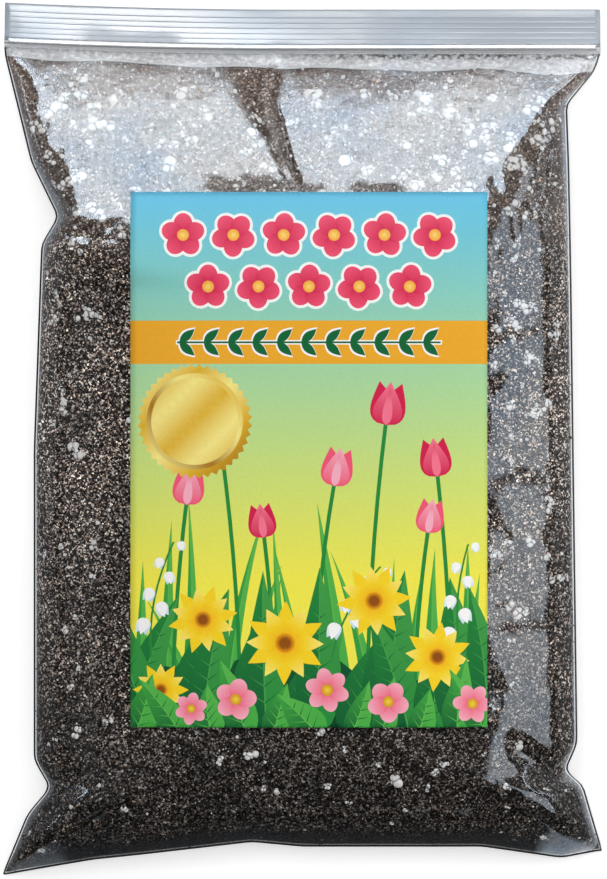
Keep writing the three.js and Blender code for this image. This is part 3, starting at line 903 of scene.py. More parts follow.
def clear_of_lumps(centres):
    found = [lump_tree.find(centre)[1:] for centre in centres]
    return np.array([distance > CLEARANCE * lump_spots[i][1] for i, distance in found])


# Crumbs and grit
GRAIN_DEPTHS = (0.8, 1.3)  # in sizes of a grain
EDGE_GRAIN_DEPTH = 0.7
LEAST_GRAIN = 0.15
GRAIN_PARTS = 5  # a grain takes at most one of these parts of the bag's height
GRAIN_UNEVEN = 0.35


def grains(form, front, back, middle, spread):
    """Grains on the front, where the label leaves it open, and round the back's edge, so far apart."""
    parts = []
    for side, spacing, keep in ((1, front, in_the_open), (-1, back, round_the_edge)):
        s, t = spots(spacing, keep)
        sizes = spacing * np.exp(rng.normal(middle, spread, len(s)))
        _, _, high, low, _ = walls(s, t)
        sizes = np.minimum(sizes, np.maximum(LEAST_GRAIN, (high - low) / GRAIN_PARTS))
        sunk = rng.uniform(*GRAIN_DEPTHS, len(s))
        depth = FILL_GAP + sizes * sunk * lerp(EDGE_GRAIN_DEPTH, 1.0, edge_share(s, t))
        centres, _ = soil_point(s, t, side, depth)
        clear = clear_of_lumps(centres)
        parts.append(scattered(form, centres[clear], sizes[clear], GRAIN_UNEVEN))
    return joined(parts)


crumb_parts = grains(OCTAHEDRON, front=1.9, back=2.8, middle=-0.72, spread=0.4)
crumbs = add_mesh("soil_crumbs", *crumb_parts, smooth=False)
grit_parts = grains(TETRAHEDRON, front=1.08, back=2.1, middle=-0.75, spread=0.3)
grit = add_mesh("soil_grit", *grit_parts, smooth=False)

# Perlite dust that sticks to the inside of the film, up to the zip
DUST_SPACING = 2.6
DUST_SHARES = ((0.1, 0.2, 0.06, 0.2), (0.76, 0.06, 0.0, 0.65))
DUST_SIZE = -1.0  # the logarithm of the middle size
DUST_SPREAD = 0.45
DUST_GAP = 0.05
DUST_UNEVEN = 0.3
s, t = chosen_spots(DUST_SPACING, in_the_open, *DUST_SHARES, top=np.ones_like)
sizes = np.exp(rng.normal(DUST_SIZE, DUST_SPREAD, len(s)))
centres, _ = wall_point(s, t, 1, -sizes - DUST_GAP)
dust = add_mesh("perlite_dust", *scattered(OCTAHEDRON, centres, sizes, DUST_UNEVEN), smooth=False)


# Label: printed shapes, in millimetres from its lower left corner, in screen colours from 0 to 255
SKY, YELLOW = (103, 201, 238), (248, 238, 80)
ORANGE, DEEP_ORANGE = (243, 176, 48), (240, 172, 44)
PINK, ROSE, BLUSH, CORAL = (245, 88, 120), (214, 30, 78), (250, 178, 196), (250, 120, 146)
GREEN, LEAF, DEEP, SHADE = (66, 172, 68), (36, 140, 60), (12, 92, 50), (10, 70, 40)
VEIN, GARLAND, BELL_STEM = (190, 230, 120), (16, 104, 56), (46, 140, 60)
WHITE, ICE = (252, 252, 250), (196, 224, 240)
GOLD, PALE_GOLD, OLD_GOLD, WHITE_GOLD = (226, 178, 44), (252, 236, 140), (168, 112, 12), (255, 236, 120)
STAR, STAR_ROOT, STAR_HEART = (252, 214, 36), (248, 170, 18), (150, 80, 14)
TITLE_HEART = ((255, 222, 120), (250, 170, 60))
BED_HEART = ((250, 214, 70), (214, 150, 30))
WIDE, TALL = LABEL_WIDTH, LABEL_LENGTH


def linear(colour):
    """Screen colour to the values that the shader works with."""
    c = np.asarray(colour, float) / 255
    return np.where(c <= 0.04045, c / 12.92, ((c + 0.055) / 1.055) ** 2.4)


def blend(a, b, f):
    return tuple(lerp(x, y, f) for x, y in zip(a, b))


def flat(colour):
    value = linear(colour)
    return lambda x, y: value


def fade(start, end, *colours):
    """Colours one after another along a line from start to end."""
    values = [linear(c) for c in colours]
    run = (end[0] - start[0], end[1] - start[1])
    length = run[0] ** 2 + run[1] ** 2

    def at(x, y):
        f = clamp(((x - start[0]) * run[0] + (y - start[1]) * run[1]) / length) * (len(values) - 1)
        i = min(int(f), len(values) - 2)
        return lerp(values[i], values[i + 1], f - i)

    return at


def glow(centre, reach, *colours):
    """Colours one after another outwards from a centre."""
    line = fade((0, 0), (reach, 0), *colours)
    return lambda x, y: line(math.hypot(x - centre[0], y - centre[1]), 0)


def moved(points, x, y, turn=0.0):
    c, s = math.cos(turn), math.sin(turn)
    return [(x + px * c - py * s, y + px * s + py * c) for px, py in points]


printed = []


def ink(points, colour, x=0.0, y=0.0, turn=0.0):
    """Prints a shape that is turned about the origin and then moved."""
    printed.append((moved(points, x, y, turn), colour))


def strip(x0, y0, x1, y1):
    return [(x0, y0), (x1, y0), (x1, y1), (x0, y1)]


def disc(radius, count=20):
    turns = [2 * math.pi * i / count for i in range(count)]
    return [(radius * math.cos(a), radius * math.sin(a)) for a in turns]


def toothed(radius, depth, teeth):
    points = []
    for i in range(2 * teeth):
        r = radius if i % 2 else radius - depth
        points.append((r * math.cos(math.pi * i / teeth), r * math.sin(math.pi * i / teeth)))
    return points


def oval(length, width, count=20):
    """An oval whose foot is at the origin."""
    turns = [2 * math.pi * i / count for i in range(count)]
    return [(width / 2 * math.sin(a), length / 2 * (1 - math.cos(a))) for a in turns]


def spine(length, bend, count):
    """A line that starts at the origin, points up and bends to one side."""
    return [(bend * (i / count) ** 2, length * i / count) for i in range(count + 1)]


def widened(line, half):
    return [(x + half, y) for x, y in line] + [(x - half, y) for x, y in line[::-1]]


BLADE_STEPS = 12


def blade(length, width, belly, bend=0.0):
    """A leaf or petal along a spine, widest near its foot where belly is small."""
    left, right = [], []
    for i in range(1, BLADE_STEPS):
        f = i / BLADE_STEPS
        half = width / 2 * math.sin(math.pi * f**belly)
        x, y = bend * f * f, length * f
        left.append((x - half, y))
        right.append((x + half, y))
    return [(0, 0), *right, (bend, length), *left[::-1]]


def leaf(x, y, turn, length, width, bend, dark, light, veins=0, belly=0.6):
    """A leaf with a darker and a lighter half, a midrib and veins."""
    at = (x, y, turn)
    tip = moved([(bend, length)], *at)[0]
    outline = blade(length, width, belly, bend)
    middle = spine(length, bend, BLADE_STEPS)
    pale = blend(light, VEIN, 0.22)
    ink(outline, fade((x, y), tip, dark, light), *at)
    ink(outline[:BLADE_STEPS + 1] + middle[-2:0:-1], fade((x, y), tip, light, pale), *at)
    ink(widened(middle[:-1], 0.35), flat(pale), *at)
    for k in range(veins):
        f = 0.2 + 0.6 * k / veins
        root = (bend * f * f, length * f)
        reach = width * 0.42 * math.sin(math.pi * (f + 0.08) ** belly)
        for sign in (-1, 1):
            end = (root[0] + sign * reach, root[1] + 0.75 * reach)
            ink([root, end, (root[0], root[1] + 0.55)], flat(pale if sign < 0 else dark), *at)


def tulip(x, y, turn, size, light, dark):
    """A tulip seen from the side, its foot at (x, y): two outer petals, then the front one."""
    top = moved([(0, size)], x, y, turn)[0]
    for lean in (0.26, -0.26):
        ink(blade(size, size * 0.62, 0.62), flat(dark), x, y, turn + lean)
    ink(blade(size * 0.98, size * 0.66, 0.55), fade((x, y), top, dark, light), x, y, turn)
    ink(blade(size * 0.86, size * 0.22, 0.55), fade((x, y), top, light, light, dark), x, y, turn)


def star_flower(x, y, size, turn):
    """A star of two rings of pointed petals round a dark heart."""
    for ring, reach, edge in ((0.5, 1.0, STAR), (0.0, 0.92, WHITE_GOLD)):
        for k in range(6):
            angle = turn + (k + ring) * math.pi / 3
            far = moved([(0, size * reach)], x, y, angle)[0]
            petal = blade(size * reach, size * 0.42, 0.8)
            ink(petal, fade((x, y), far, STAR_ROOT, STAR, edge), x, y, angle)
    heart = size * 0.24
    ink(disc(heart), glow((x, y), heart, STAR_HEART, STAR_HEART, STAR_ROOT), x, y)


def blossom(x, y, size, turn, petals, inner, outer, heart, rim=0.0):
    """A blossom of round petals, with a white rim behind them if one is given."""
    for grown in (rim, 0.0) if rim else (0.0,):
        for k in range(petals):
            angle = turn + k * 2 * math.pi / petals
            far = moved([(0, size)], x, y, angle)[0]
            petal = oval(size + grown, size * 4.3 / petals + 2 * grown)
            ink(petal, flat(WHITE) if grown else fade((x, y), far, inner, outer), x, y, angle)
    ink(disc(size * 0.27), glow((x, y), size * 0.27, *heart), x, y)


def bells(x, y, turn, length):
    """A sprig of small hanging bells."""
    bend = length * 0.3
    ink(widened(spine(length, bend, 8), 0.45), flat(BELL_STEM), x, y, turn)
    for k in range(6):
        f = 0.35 + 0.13 * k
        side = 1 if k % 2 else -1
        bell = moved([(bend * f * f + side * 2.6, length * f)], x, y, turn)[0]
        size = 7.4 - 0.6 * k
        for lean, end in ((0.3, ICE), (-0.3, ICE), (0, WHITE)):
            colour = fade(bell, (bell[0], bell[1] - size), WHITE, end)
            ink(blade(size, size * 0.6, 0.7), colour, *bell, math.pi + side * 0.3 + lean)


# Sky
SKY_STEPS = 8
SKY_FOOT = 62
dawn = [blend(SKY, YELLOW, k / SKY_STEPS) for k in range(SKY_STEPS + 1)]
ink(strip(0, 0, WIDE, TALL), fade((0, TALL), (0, SKY_FOOT), *dawn))

# Two rows of blossoms across the head
for count, down in ((6, 18.5), (5, 40.5)):
    for k in range(count):
        x = WIDE / 2 + (k - (count - 1) / 2) * 21.5
        blossom(x, TALL - down, 9.4, 0.6 * k, 5, ROSE, PINK, TITLE_HEART, rim=1.1)

# Band with a garland of leaves
BAND_LOW, BAND_HIGH = TALL - 73.5, TALL - 55
GARLAND_UP = TALL - 64.3
GARLAND_IN = 20  # from the label's sides
ink(strip(0, BAND_LOW, WIDE, BAND_HIGH), fade((0, TALL), (0, TALL - 90), ORANGE, DEEP_ORANGE))
for edge, tone in ((0.55, WHITE), (0.0, GARLAND)):
    left, half = GARLAND_IN - edge, 0.4 + edge
    ink(strip(left, GARLAND_UP - half, WIDE - left, GARLAND_UP + half), flat(tone))
    for k in range(11):
        for turn in (-0.85, -math.pi + 0.85):
            leaflet = blade(8.6 + 2 * edge, 3.7 + 2 * edge, 0.85)
            ink(leaflet, flat(tone), GARLAND_IN + 1 + k * 10.4 - edge, GARLAND_UP, turn)

# Flower bed, from the back to the front
bed = np.random.RandomState(BED_SEED)


def leaf_row(count, first, pitch, stray, foot, lean, lengths, widths, bend, **looks):
    """Leaves side by side, each a little different."""
    for k in range(count):
        x = first + k * pitch + bed.uniform(-stray, stray)
        turn = bed.uniform(-lean, lean)
        length = bed.uniform(*lengths)
        width = bed.uniform(*widths)
        leaf(x, foot, turn, length, width, bed.uniform(-bend, bend), **looks)


leaf_row(19, first=-2, pitch=8.8, stray=3, foot=-4, lean=0.2, lengths=(56, 104), widths=(5, 8.5),
         bend=14, dark=LEAF, light=GREEN, belly=0.45)
for x, length, bend, size, light, dark in (
    (18, 96, 6, 17, BLUSH, PINK),
    (47, 118, -8, 18, CORAL, ROSE),
    (78, 104, 9, 17, BLUSH, PINK),
    (101, 130, 8, 19, CORAL, ROSE),
    (137, 108, -6, 17, CORAL, ROSE),
    (62, 82, -5, 15, CORAL, ROSE),
    (121, 84, 6, 15, BLUSH, PINK),
):
    ink(widened(spine(length, bend, 8), 0.85), flat(LEAF), x)
    tulip(x + bend, length - 1, -2 * bend / length, size, light, dark)
hedge_top = [(WIDE * k / 24, 26 + 7 * math.sin(k * 1.9) + 5 * math.sin(k * 0.83)) for k in range(25)]
ink([(WIDE, 0), (0, 0), *hedge_top], fade((0, 0), (0, 36), SHADE, DEEP))
leaf_row(14, first=-2, pitch=12, stray=3, foot=-4, lean=0.4, lengths=(46, 76), widths=(16, 23),
         bend=10, dark=DEEP, light=LEAF, veins=6)
for x, y, turn, length in ((9, 30, 0.1, 48), (142, 26, 0.25, 50), (86, 30, -0.2, 42)):
    bells(x, y, turn, length)
for x, y, size, turn in (
    (31, 46, 15, 0.2),
    (66, 36, 18, 0.5),
    (104, 54, 16, 0.1),
    (131, 30, 15, 0.4),
    (13, 16, 12, 0),
):
    star_flower(x, y, size, turn)
leaf_row(11, first=4, pitch=15, stray=4, foot=-5, lean=0.7, lengths=(22, 38), widths=(11, 15),
         bend=6, dark=DEEP, light=GREEN, veins=4)
for x, y, size, petals in (
    (45, 12, 9, 5),
    (84, 16, 9.5, 6),
    (110, 11, 9, 5),
    (146, 10, 8.5, 6),
    (26, 8, 7, 6),
):
    blossom(x, y, size, x, petals, PINK, BLUSH, BED_HEART)

# Gold seal
SEAL_X, SEAL_Y, SEAL_RADIUS = 27.5, TALL - 98, 24.5
for shape, reach, rise, *colours in (
    (toothed(SEAL_RADIUS, 1.6, 40), 20, -20, PALE_GOLD, GOLD, PALE_GOLD, GOLD, OLD_GOLD),
    (disc(SEAL_RADIUS * 0.84, 48), 18, 18, PALE_GOLD, OLD_GOLD, PALE_GOLD, GOLD),
    (disc(SEAL_RADIUS * 0.76, 48), 17, -17, GOLD, PALE_GOLD, GOLD, PALE_GOLD, GOLD),
):
    start, end = (SEAL_X - reach, SEAL_Y - rise), (SEAL_X + reach, SEAL_Y + rise)
    ink(shape, fade(start, end, *colours), SEAL_X, SEAL_Y)

# The printed sheet: one mesh that all shapes are cut into, laid on the bag
PRINT_GRID = 3.0
LEAST_PRINT = 0.05  # smaller scraps of a shape are left out
WELD = 1e-4
SEAT = 0.02  # label to film


def clipped(points):
    """A shape cut off at the label's edges."""
    for axis, limit, sign in ((0, 0, 1), (0, WIDE, -1), (1, 0, 1), (1, TALL, -1)):
        kept = []
        for i, here in enumerate(points):
            last = points[i - 1]
            inside, was = sign * (here[axis] - limit) >= 0, sign * (last[axis] - limit) >= 0
            if inside != was:
                f = (limit - last[axis]) / (here[axis] - last[axis])
                kept.append(blend(last, here, f))
            if inside:
                kept.append(here)
        points = kept
    return points


def divided(points):
    """The same outline with no edge longer than the print's grid, so that it can follow the bag."""
    line = []
    for here, there in zip(points, points[1:] + points[:1]):
        steps = max(1, math.ceil(math.dist(here, there) / PRINT_GRID))
        line += [blend(here, there, k / steps) for k in range(steps)]
    return line


plan, shapes, inks = [], [], []
for points, colour in printed:
    cut = clipped(points)
    area = sum(a[0] * b[1] - b[0] * a[1] for a, b in zip(cut, cut[1:] + cut[:1])) / 2
    if abs(area) < LEAST_PRINT:
        continue
    cut = divided(cut if area > 0 else cut[::-1])
    shapes.append(list(range(len(plan), len(plan) + len(cut))))
    inks.append(colour)
    plan.extend(Vector(p) for p in cut)
for x in np.arange(PRINT_GRID, WIDE - 1, PRINT_GRID):
    plan.extend(Vector((x, y)) for y in np.arange(PRINT_GRID, TALL - 1, PRINT_GRID))
corners, _, triangles, _, _, owners = delaunay_2d_cdt(plan, [], shapes, 0, WELD)
corners = np.array([c[:] for c in corners])
s, t = unplace(corners[:, 0] + LABEL_RIGHT - WIDE / 2, corners[:, 1] + LABEL_UP - TALL / 2)
under, _ = wall_point(s, t, 1, FILM + SEAT)
over, _ = wall_point(s, t, 1, FILM + SEAT + LABEL_THICKNESS)
count = len(corners)
top_faces = [tuple(f) for f in triangles]
edges = dict.fromkeys((a, b) for f in top_faces for a, b in zip(f, f[1:] + f[:1]))
bottom_faces = [tuple(i + count for i in reversed(f)) for f in top_faces]
side_faces = [(b, a, a + count, b + count) for a, b in edges if (b, a) not in edges]
label = add_mesh("label_sheet", np.concatenate([over, under]), top_faces + bottom_faces + side_faces)
tints = np.ones((len(label.data.loops), 4))
tints[:, :3] = linear(WHITE)
at = 0
for f, owner in zip(top_faces, owners):
    colour = inks[max(owner)] if owner else flat(WHITE)
    for i in f:
        tints[at, :3] = colour(*corners[i])
        at += 1
label.data.color_attributes.new("ink", "FLOAT_COLOR", "CORNER").data.foreach_set("color", tints.ravel())


# Materials; the scales of their noise are in waves a metre
BUMP = 0.0004  # height of the fine relief, in metres


def opaque(colour):
    """A grey value or three values as a colour of four."""
    return (*colour, 1) if isinstance(colour, tuple) else (colour, colour, colour, 1)


class Nodes:
    """A small helper that adds and links the nodes of a material or a world."""

    def __init__(self, owner, output="ShaderNodeOutputMaterial"):
        self.owner = owner
        owner.use_nodes = True
        self.tree = owner.node_tree
        self.tree.nodes.clear()
        self.output = self.add(output)

    def add(self, kind, links=None, **settings):
        node = self.tree.nodes.new(kind)
        for key, value in settings.items():
            setattr(node, key, value)
        for key, value in (links or {}).items():
            self.set(node, key, value)
        return node

    def set(self, node, key, value):
        if isinstance(value, bpy.types.NodeSocket):
            self.tree.links.new(value, node.inputs[key])
        else:
            node.inputs[key].default_value = value

    def place(self):
        return self.add("ShaderNodeTexCoord").outputs["Object"]

    def axes(self, place):
        return self.add("ShaderNodeSeparateXYZ", {0: place}).outputs

    def attribute(self, name):
        return self.add("ShaderNodeAttribute", attribute_name=name).outputs["Fac"]

    def own(self):
        """A random value for each loose grain."""
        return self.add("ShaderNodeNewGeometry").outputs["Random Per Island"]

    def math(self, operation, a, b=0.0, c=0.0):
        return self.add("ShaderNodeMath", {0: a, 1: b, 2: c}, operation=operation).outputs[0]

    def times(self, a, b):
        return self.math("MULTIPLY", a, b)

    def span(self, value, low, high, to_low=0.0, to_high=1.0):
        """A value from low to high as one from to_low to to_high."""
        links = {0: value, 1: low, 2: high, 3: to_low, 4: to_high}
        return self.add("ShaderNodeMapRange", links).outputs[0]

    def ramp(self, factor, *stops):
        node = self.add("ShaderNodeValToRGB", {"Fac": factor})
        line = node.color_ramp.elements
        for end in (0, -1):
            line[end].position, line[end].color = stops[end][0], opaque(stops[end][1])
        for at, colour in stops[1:-1]:
            line.new(at).color = opaque(colour)
        return node.outputs["Color"]

    def grey(self, value):
        return self.add("ShaderNodeCombineColor", {0: value, 1: value, 2: value}).outputs[0]

    def noise(self, place, scale, detail=3.0, rough=0.5):
        links = {"Vector": place, "Scale": scale, "Detail": detail, "Roughness": rough}
        return self.add("ShaderNodeTexNoise", links).outputs["Fac"]

    def mix(self, factor, a, b, blending="MIX"):
        links = {0: factor, 6: a, 7: b}
        return self.add("ShaderNodeMix", links, data_type="RGBA", blend_type=blending).outputs[2]

    def bump(self, height, strength, distance):
        links = {"Height": height, "Strength": strength, "Distance": distance}
        return self.add("ShaderNodeBump", links).outputs["Normal"]

    def matt(self, colour):
        return self.add("ShaderNodeBsdfDiffuse", {"Color": colour}).outputs[0]

    def skin(self, colour, rough, normal=None, specular=0.5):
        links = {"Base Color": colour, "Roughness": rough, "Specular IOR Level": specular}
        if normal is not None:
            links["Normal"] = normal
        return self.add("ShaderNodeBsdfPrincipled", links).outputs[0]

    def either(self, share, a, b):
        """Shader a, with a share of shader b."""
        return self.add("ShaderNodeMixShader", {0: share, 1: a, 2: b}).outputs[0]

    def finish(self, shader):
        self.tree.links.new(shader, self.output.inputs["Surface"])
        return self.owner


def film_material(name, clear, gloss, straight, rough, wavy=0.35, milky=0.0, dust=0.0, more=None):
    """Clear film: what lies behind it, any dust on it, and a reflection that grows towards its edges."""
    n = Nodes(bpy.data.materials.new(name))
    at = n.place()
    broad = n.noise(at, 55.0)
    height = n.math("MULTIPLY_ADD", n.noise(at, 420.0, 2.0), 0.25, n.times(broad, 2.5))
    normal = n.bump(height, wavy, BUMP)
    facing = n.add("ShaderNodeLayerWeight", {"Blend": 0.5, "Normal": normal}).outputs["Facing"]
    share = n.math("MULTIPLY_ADD", n.math("POWER", facing, 5.0), 0.45, straight)
    cool = tuple(0.9 * c * f for c, f in zip(gloss, (0.82, 0.93, 1.06)))
    warm = tuple(c * f for c, f in zip(gloss, (1.06, 1.0, 0.95)))
    tint = n.ramp(n.noise(at, 16.0, 4.0, 0.6), (0.36, cool), (0.52, gloss), (0.68, warm))
    smear = n.math("MULTIPLY_ADD", broad, 0.08, rough)
    shine = n.add("ShaderNodeBsdfGlossy", {"Color": tint, "Roughness": smear, "Normal": normal}).outputs[0]
    through = n.add("ShaderNodeBsdfTransparent", {"Color": opaque(clear)}).outputs[0]
    if milky > 0:
        through = n.either(milky, through, n.matt((0.65, 0.71, 0.78, 1)))
    if dust > 0:
        tone = n.ramp(n.noise(at, 300.0, 4.0, 0.7), (0.35, dust * 0.5), (0.7, dust * 1.6))
        through = n.either(0.8, through, n.matt(tone))
    if more:
        share, through = more(n, at, share, through)
    return n.finish(n.either(share, through, shine))


def streaked(n, at, share, through):
    """Lips that reflect in streaks on the left, and less to the right of a slanting line."""
    drawn = n.add("ShaderNodeMapping", {"Vector": at, "Scale": (1.0, 2.2, 1.0)}).outputs[0]
    streaks = n.ramp(n.noise(drawn, 24.0, 1.0, 0.4), (0.4, 0.25), (0.5, 1.0))
    axes = n.axes(at)
    slant = n.math("MULTIPLY_ADD", axes["Y"], 3.2, axes["X"])
    plain = n.span(slant, 0.535, 0.575, 0.0, 0.75)
    return n.times(share, n.mix(plain, streaks, opaque(0.3))), through


def over_soil(n, at, share, through):
    """The filled part: dull where it clings, with painted shade along the bottom edge where the film turns
    under, dusty where no soil lies behind it.
    """
    dull = n.math("MULTIPLY_ADD", n.attribute("cling"), -0.85, 1.0)
    pits = n.ramp(n.noise(at, 480.0, 3.0, 0.65), (0.36, 0.7), (0.54, 1.0))
    # Painted shade: a near-black sheet along the bottom edge, where the film turns under the bag
    bottom_shade = n.times(n.attribute("bottom_shade"), 0.7)
    through = n.either(bottom_shade, through, n.matt((0.019, 0.0175, 0.0165, 1)))
    grains = n.noise(at, 420.0, 4.0, 0.7)
    veil = n.ramp(grains, (0.36, (0.46, 0.47, 0.5)), (0.53, (0.7, 0.71, 0.73)), (0.63, 0.98))
    specks = n.ramp(n.noise(at, 520.0, 3.0, 0.6), (0.4, 1.0), (0.56, 0.0))
    veil = n.mix(n.times(n.attribute("dirt"), specks), veil, (0.05, 0.04, 0.035, 1))
    through = n.either(n.times(n.attribute("bare"), 0.8), through, n.matt(veil))
    return n.times(n.times(share, dull), pits), through


EARTH = (
    (0.0, 0.001),
    (0.5, (0.0135, 0.009, 0.0073)),
    (0.66, (0.107, 0.076, 0.063)),
    (0.8, (0.475, 0.375, 0.32)),
    (0.9, (0.97, 0.91, 0.86)),
    (1.0, (1.2, 1.17, 1.13)),
)
CRUMB_TINTS = ((0.0, (0.35, 0.33, 0.33)), (0.6, (1.0, 0.98, 0.96)), (1.0, (2.0, 1.9, 1.8)))


def soil_material(name, loose):
    """Earth in which every small grain has a tone of its own, and each loose crumb a tint."""
    n = Nodes(bpy.data.materials.new(name))
    at = n.place()
    up = n.axes(at)["Y"]
    cells = n.add("ShaderNodeTexVoronoi", {"Vector": at, "Scale": 1350.0}).outputs["Color"]
    earth = n.ramp(n.add("ShaderNodeSeparateColor", {0: cells}).outputs[0], *EARTH)
    patches = n.ramp(n.noise(at, 45.0), (0.3, 0.55), (0.7, (1.3, 1.26, 1.22)))
    earth = n.mix(1.0, earth, patches, "MULTIPLY")
    # Painted shade: the soil darkens towards the bottom of the bag, as if less light reached it there
    earth = n.mix(1.0, earth, n.grey(n.span(up, -0.175, -0.02, 0.28, 1.09)), "MULTIPLY")
    head = n.ramp(n.span(up, 0.13, 0.165), (0.0, (0.17, 0.132, 0.112)), (1.0, (0.28, 0.19, 0.143)))
    earth = n.mix(n.span(up, 0.07, 0.1, 0.0, 0.65), earth, head)
    if loose:
        earth = n.mix(1.0, earth, n.ramp(n.own(), *CRUMB_TINTS), "MULTIPLY")
    normal = n.bump(n.noise(at, 1600.0, 3.0, 0.65), 0.8, BUMP)
    return n.finish(n.skin(earth, 0.6, normal, 0.4))


def perlite_material():
    """White lumps with painted shade in their creases and low on their sides, and fine pits."""
    n = Nodes(bpy.data.materials.new("perlite_grain"))
    at = n.place()
    out = n.attribute("painted_shading")
    # Painted shade: near black where a point lies in a crease or low on the lump, white on its top
    white = n.ramp(out, (0.0, (0.04, 0.038, 0.037)), (0.35, (0.42, 0.415, 0.41)), (0.7, 1.0))
    white = n.mix(1.0, white, n.ramp(n.own(), (0.0, (0.92, 0.92, 0.915)), (1.0, 1.0)), "MULTIPLY")
    dirt = n.ramp(n.noise(at, 900.0, 4.0, 0.6), (0.5, 1.0), (0.7, (0.45, 0.42, 0.4)))
    white = n.mix(0.25, white, dirt, "MULTIPLY")
    pits = n.add("ShaderNodeTexVoronoi", {"Vector": at, "Scale": 1500.0}).outputs["Distance"]
    return n.finish(n.skin(white, 0.75, n.bump(pits, 0.5, BUMP)))


def dust_material():
    n = Nodes(bpy.data.materials.new("perlite_dust"))
    white = n.ramp(n.own(), (0.0, (0.5, 0.49, 0.47)), (0.6, (0.95, 0.95, 0.94)))
    return n.finish(n.skin(white, 0.8))


def label_material():
    """Printed paper with a fine grain and a weak gloss."""
    n = Nodes(bpy.data.materials.new("label_paper"))
    at = n.place()
    print_colour = n.add("ShaderNodeVertexColor", layer_name="ink").outputs["Color"]
    grain = n.noise(at, 1400.0, 3.0, 0.6)
    colour = n.mix(1.0, print_colour, n.ramp(grain, (0.3, 0.95), (0.7, 1.03)), "MULTIPLY")
    rough = n.math("MULTIPLY_ADD", n.noise(at, 60.0), 0.12, 0.42)
    normal = n.bump(grain, 0.12, BUMP / 2)
    return n.finish(n.skin(colour, rough, normal, 0.1))


def floor_material():
    """White to the camera; in the film's reflections it is painted light and shade: dark near the bag,
    glowing bright beyond the zip and at the sides.
    """
    n = Nodes(bpy.data.materials.new("floor_white"))
    rays = n.add("ShaderNodeLightPath").outputs
    seen, mirrored = rays["Is Camera Ray"], rays["Is Glossy Ray"]
    axes = n.axes(n.place())
    # Painted shade in reflections: the floor is darker near the bag to glossy rays
    tone = n.mix(mirrored, opaque(0.8), n.grey(n.span(axes["Y"], -0.3, 0.1, 0.015, 0.38)))
    tone = n.mix(seen, tone, opaque(1.0))
    far = n.ramp(n.span(axes["Y"], 0.2, 1.1), (0.05, 0.0), (0.15, 0.38), (0.4, 0.75), (0.9, 1.0))
    off_middle = n.math("ABSOLUTE", axes["X"])
    ring = n.ramp(n.span(off_middle, 0.1, 0.16), (0.0, 0.0), (0.1, 1.0), (0.45, 1.0), (0.75, 0.0))
    beside = n.times(ring, n.span(axes["X"], -0.1, 0.1, 0.3, 1.1))
    # Painted reflection: a glow that only glossy rays see, far beyond the zip and in a ring beside the bag
    bright = n.times(mirrored, n.math("MAXIMUM", n.times(far, 6.0), beside))
    strength = n.math("MULTIPLY_ADD", seen, 0.42, bright)
    floor_glow = n.add("ShaderNodeEmission", {"Strength": strength}).outputs[0]
    return n.finish(n.add("ShaderNodeAddShader", {0: n.matt(tone), 1: floor_glow}).outputs[0])


# In the order of WALL, LIPS, ZIP and SEAL
film_looks = [
    film_material("bag_film", 0.985, (0.81, 0.905, 1.0), straight=0.1, rough=0.06, more=over_soil),
    film_material("lip_film", (0.86, 0.88, 0.9), (0.95, 0.98, 1.0), straight=0.1, rough=0.12, wavy=0.2,
                  milky=0.5, more=streaked),
    film_material("zip_film", 0.95, (0.95, 0.97, 1.0), straight=0.12, rough=0.2, wavy=0.2, milky=0.06),
    film_material("seal_film", 0.3, (0.9, 0.93, 0.95), straight=0.08, rough=0.3, dust=0.035),
]
for piece, node, slot, materials in (
    (bag, "clear_bag", "clear_film", film_looks),
    (soil, "soil_mix", "soil", [soil_material("soil_fine", False)]),
    (crumbs, "soil_mix", "soil", [soil_material("soil_crumb", True)]),
    (grit, "soil_mix", "soil", [soil_material("soil_grit", True)]),
    (perlite, "soil_mix", "soil", [perlite_material()]),
    (dust, "soil_mix", "soil", [dust_material()]),
    (label, "label", "label_print", [label_material()]),
):
    for material in materials:
        piece.data.materials.append(material)
    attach(piece, "root")
    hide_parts(node)

# Floor, in metres like all of the stage
FLOOR = 4.0
floor_mesh = bpy.data.meshes.new("floor")
floor_mesh.from_pydata([(x, y, 0) for x, y in strip(-FLOOR, -FLOOR, FLOOR, FLOOR)], [], [(0, 1, 2, 3)])
floor_mesh.materials.append(floor_material())
floor = bpy.data.objects.new("floor", floor_mesh)
bpy.context.scene.collection.objects.link(floor)

# Light
ROOM = 0.2  # what lights the soil and the label
SHEEN = 0.02  # what the film reflects where no panel stands
BACKDROP = 1.0  # what the camera sees
n = Nodes(bpy.data.worlds.new("studio"), "ShaderNodeOutputWorld")
rays = n.add("ShaderNodeLightPath").outputs
room, sheen, backdrop = (
    n.add("ShaderNodeBackground", {"Color": opaque(1.0), "Strength": strength}).outputs[0]
    for strength in (ROOM, SHEEN, BACKDROP)
)
lit = n.either(rays["Is Glossy Ray"], room, sheen)
bpy.context.scene.world = n.finish(n.either(rays["Is Camera Ray"], lit, backdrop))


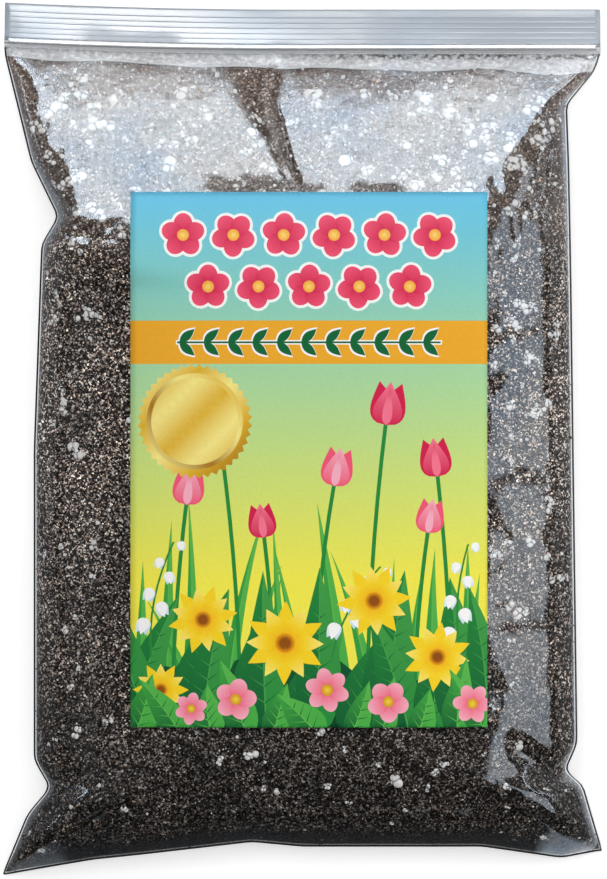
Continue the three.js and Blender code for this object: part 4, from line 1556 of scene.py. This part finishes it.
def area_lamp(name, location, rotation, width, height, radiance):
    """An even rectangle of light that the camera doesn't see."""
    light = bpy.data.lights.new(name, "AREA")
    light.shape = "RECTANGLE"
    light.size, light.size_y = width, height
    light.energy = radiance * math.pi * width * height
    lamp = bpy.data.objects.new(name, light)
    lamp.location = location
    lamp.rotation_euler = rotation
    lamp.visible_camera = False
    bpy.context.scene.collection.objects.link(lamp)
    return lamp


def panel(name, zenith, azimuth, distance, width, height, radiance):
    """A soft panel that faces the bag. Azimuth 0 is the zip's side, 90 the right."""
    z, a = math.radians(zenith), math.radians(azimuth)
    towards = Vector((math.sin(z) * math.sin(a), math.sin(z) * math.cos(a), math.cos(z)))
    facing = towards.to_track_quat("Z", "Y").to_euler()
    return area_lamp(name, towards * distance, facing, width, height, radiance)


# A tall window beyond the zip, which only reflections show
WINDOW_AWAY = 1.1
WINDOW_LOW, WINDOW_HIGH = 0.04, 2.0
window_middle = (0, WINDOW_AWAY, (WINDOW_LOW + WINDOW_HIGH) / 2)
upright = (math.radians(-90), 0, 0)
window = area_lamp("window", window_middle, upright, 1.0, WINDOW_HIGH - WINDOW_LOW, radiance=6.5)
window.visible_diffuse = False

# Panels: the key and the fill light the bag without a reflection on the film
key = panel("key", zenith=28, azimuth=-34, distance=2.2, width=1.2, height=1.2, radiance=3.2)
key.visible_glossy = False
panel("right_panel", zenith=58, azimuth=90, distance=1.4, width=1.2, height=1.05, radiance=2.0)
panel("left_panel", zenith=60, azimuth=-95, distance=1.5, width=1.0, height=0.7, radiance=0.08)
fill = panel("overhead_fill", zenith=0, azimuth=0, distance=1.6, width=1.6, height=1.6, radiance=1.02)
fill.visible_glossy = False

# Camera: straight down, as the photograph was taken
FRAME_HIGH = 879
MM_PER_PIXEL = 0.434
CAMERA_HEIGHT = 3.0
CAMERA_ASIDE = 0.00043
FOCUS_HEIGHT = 0.012
SENSOR = 36
camera_data = bpy.data.cameras.new("camera")
camera_data.sensor_width = SENSOR
camera_data.lens = SENSOR * (CAMERA_HEIGHT - FOCUS_HEIGHT) / (FRAME_HIGH * MM_PER_PIXEL * MM)
camera = bpy.data.objects.new("camera", camera_data)
camera.location = (CAMERA_ASIDE, -CAMERA_ASIDE, CAMERA_HEIGHT)
bpy.context.scene.collection.objects.link(camera)
bpy.context.scene.camera = camera
bpy.context.scene.view_settings.view_transform = "Standard"
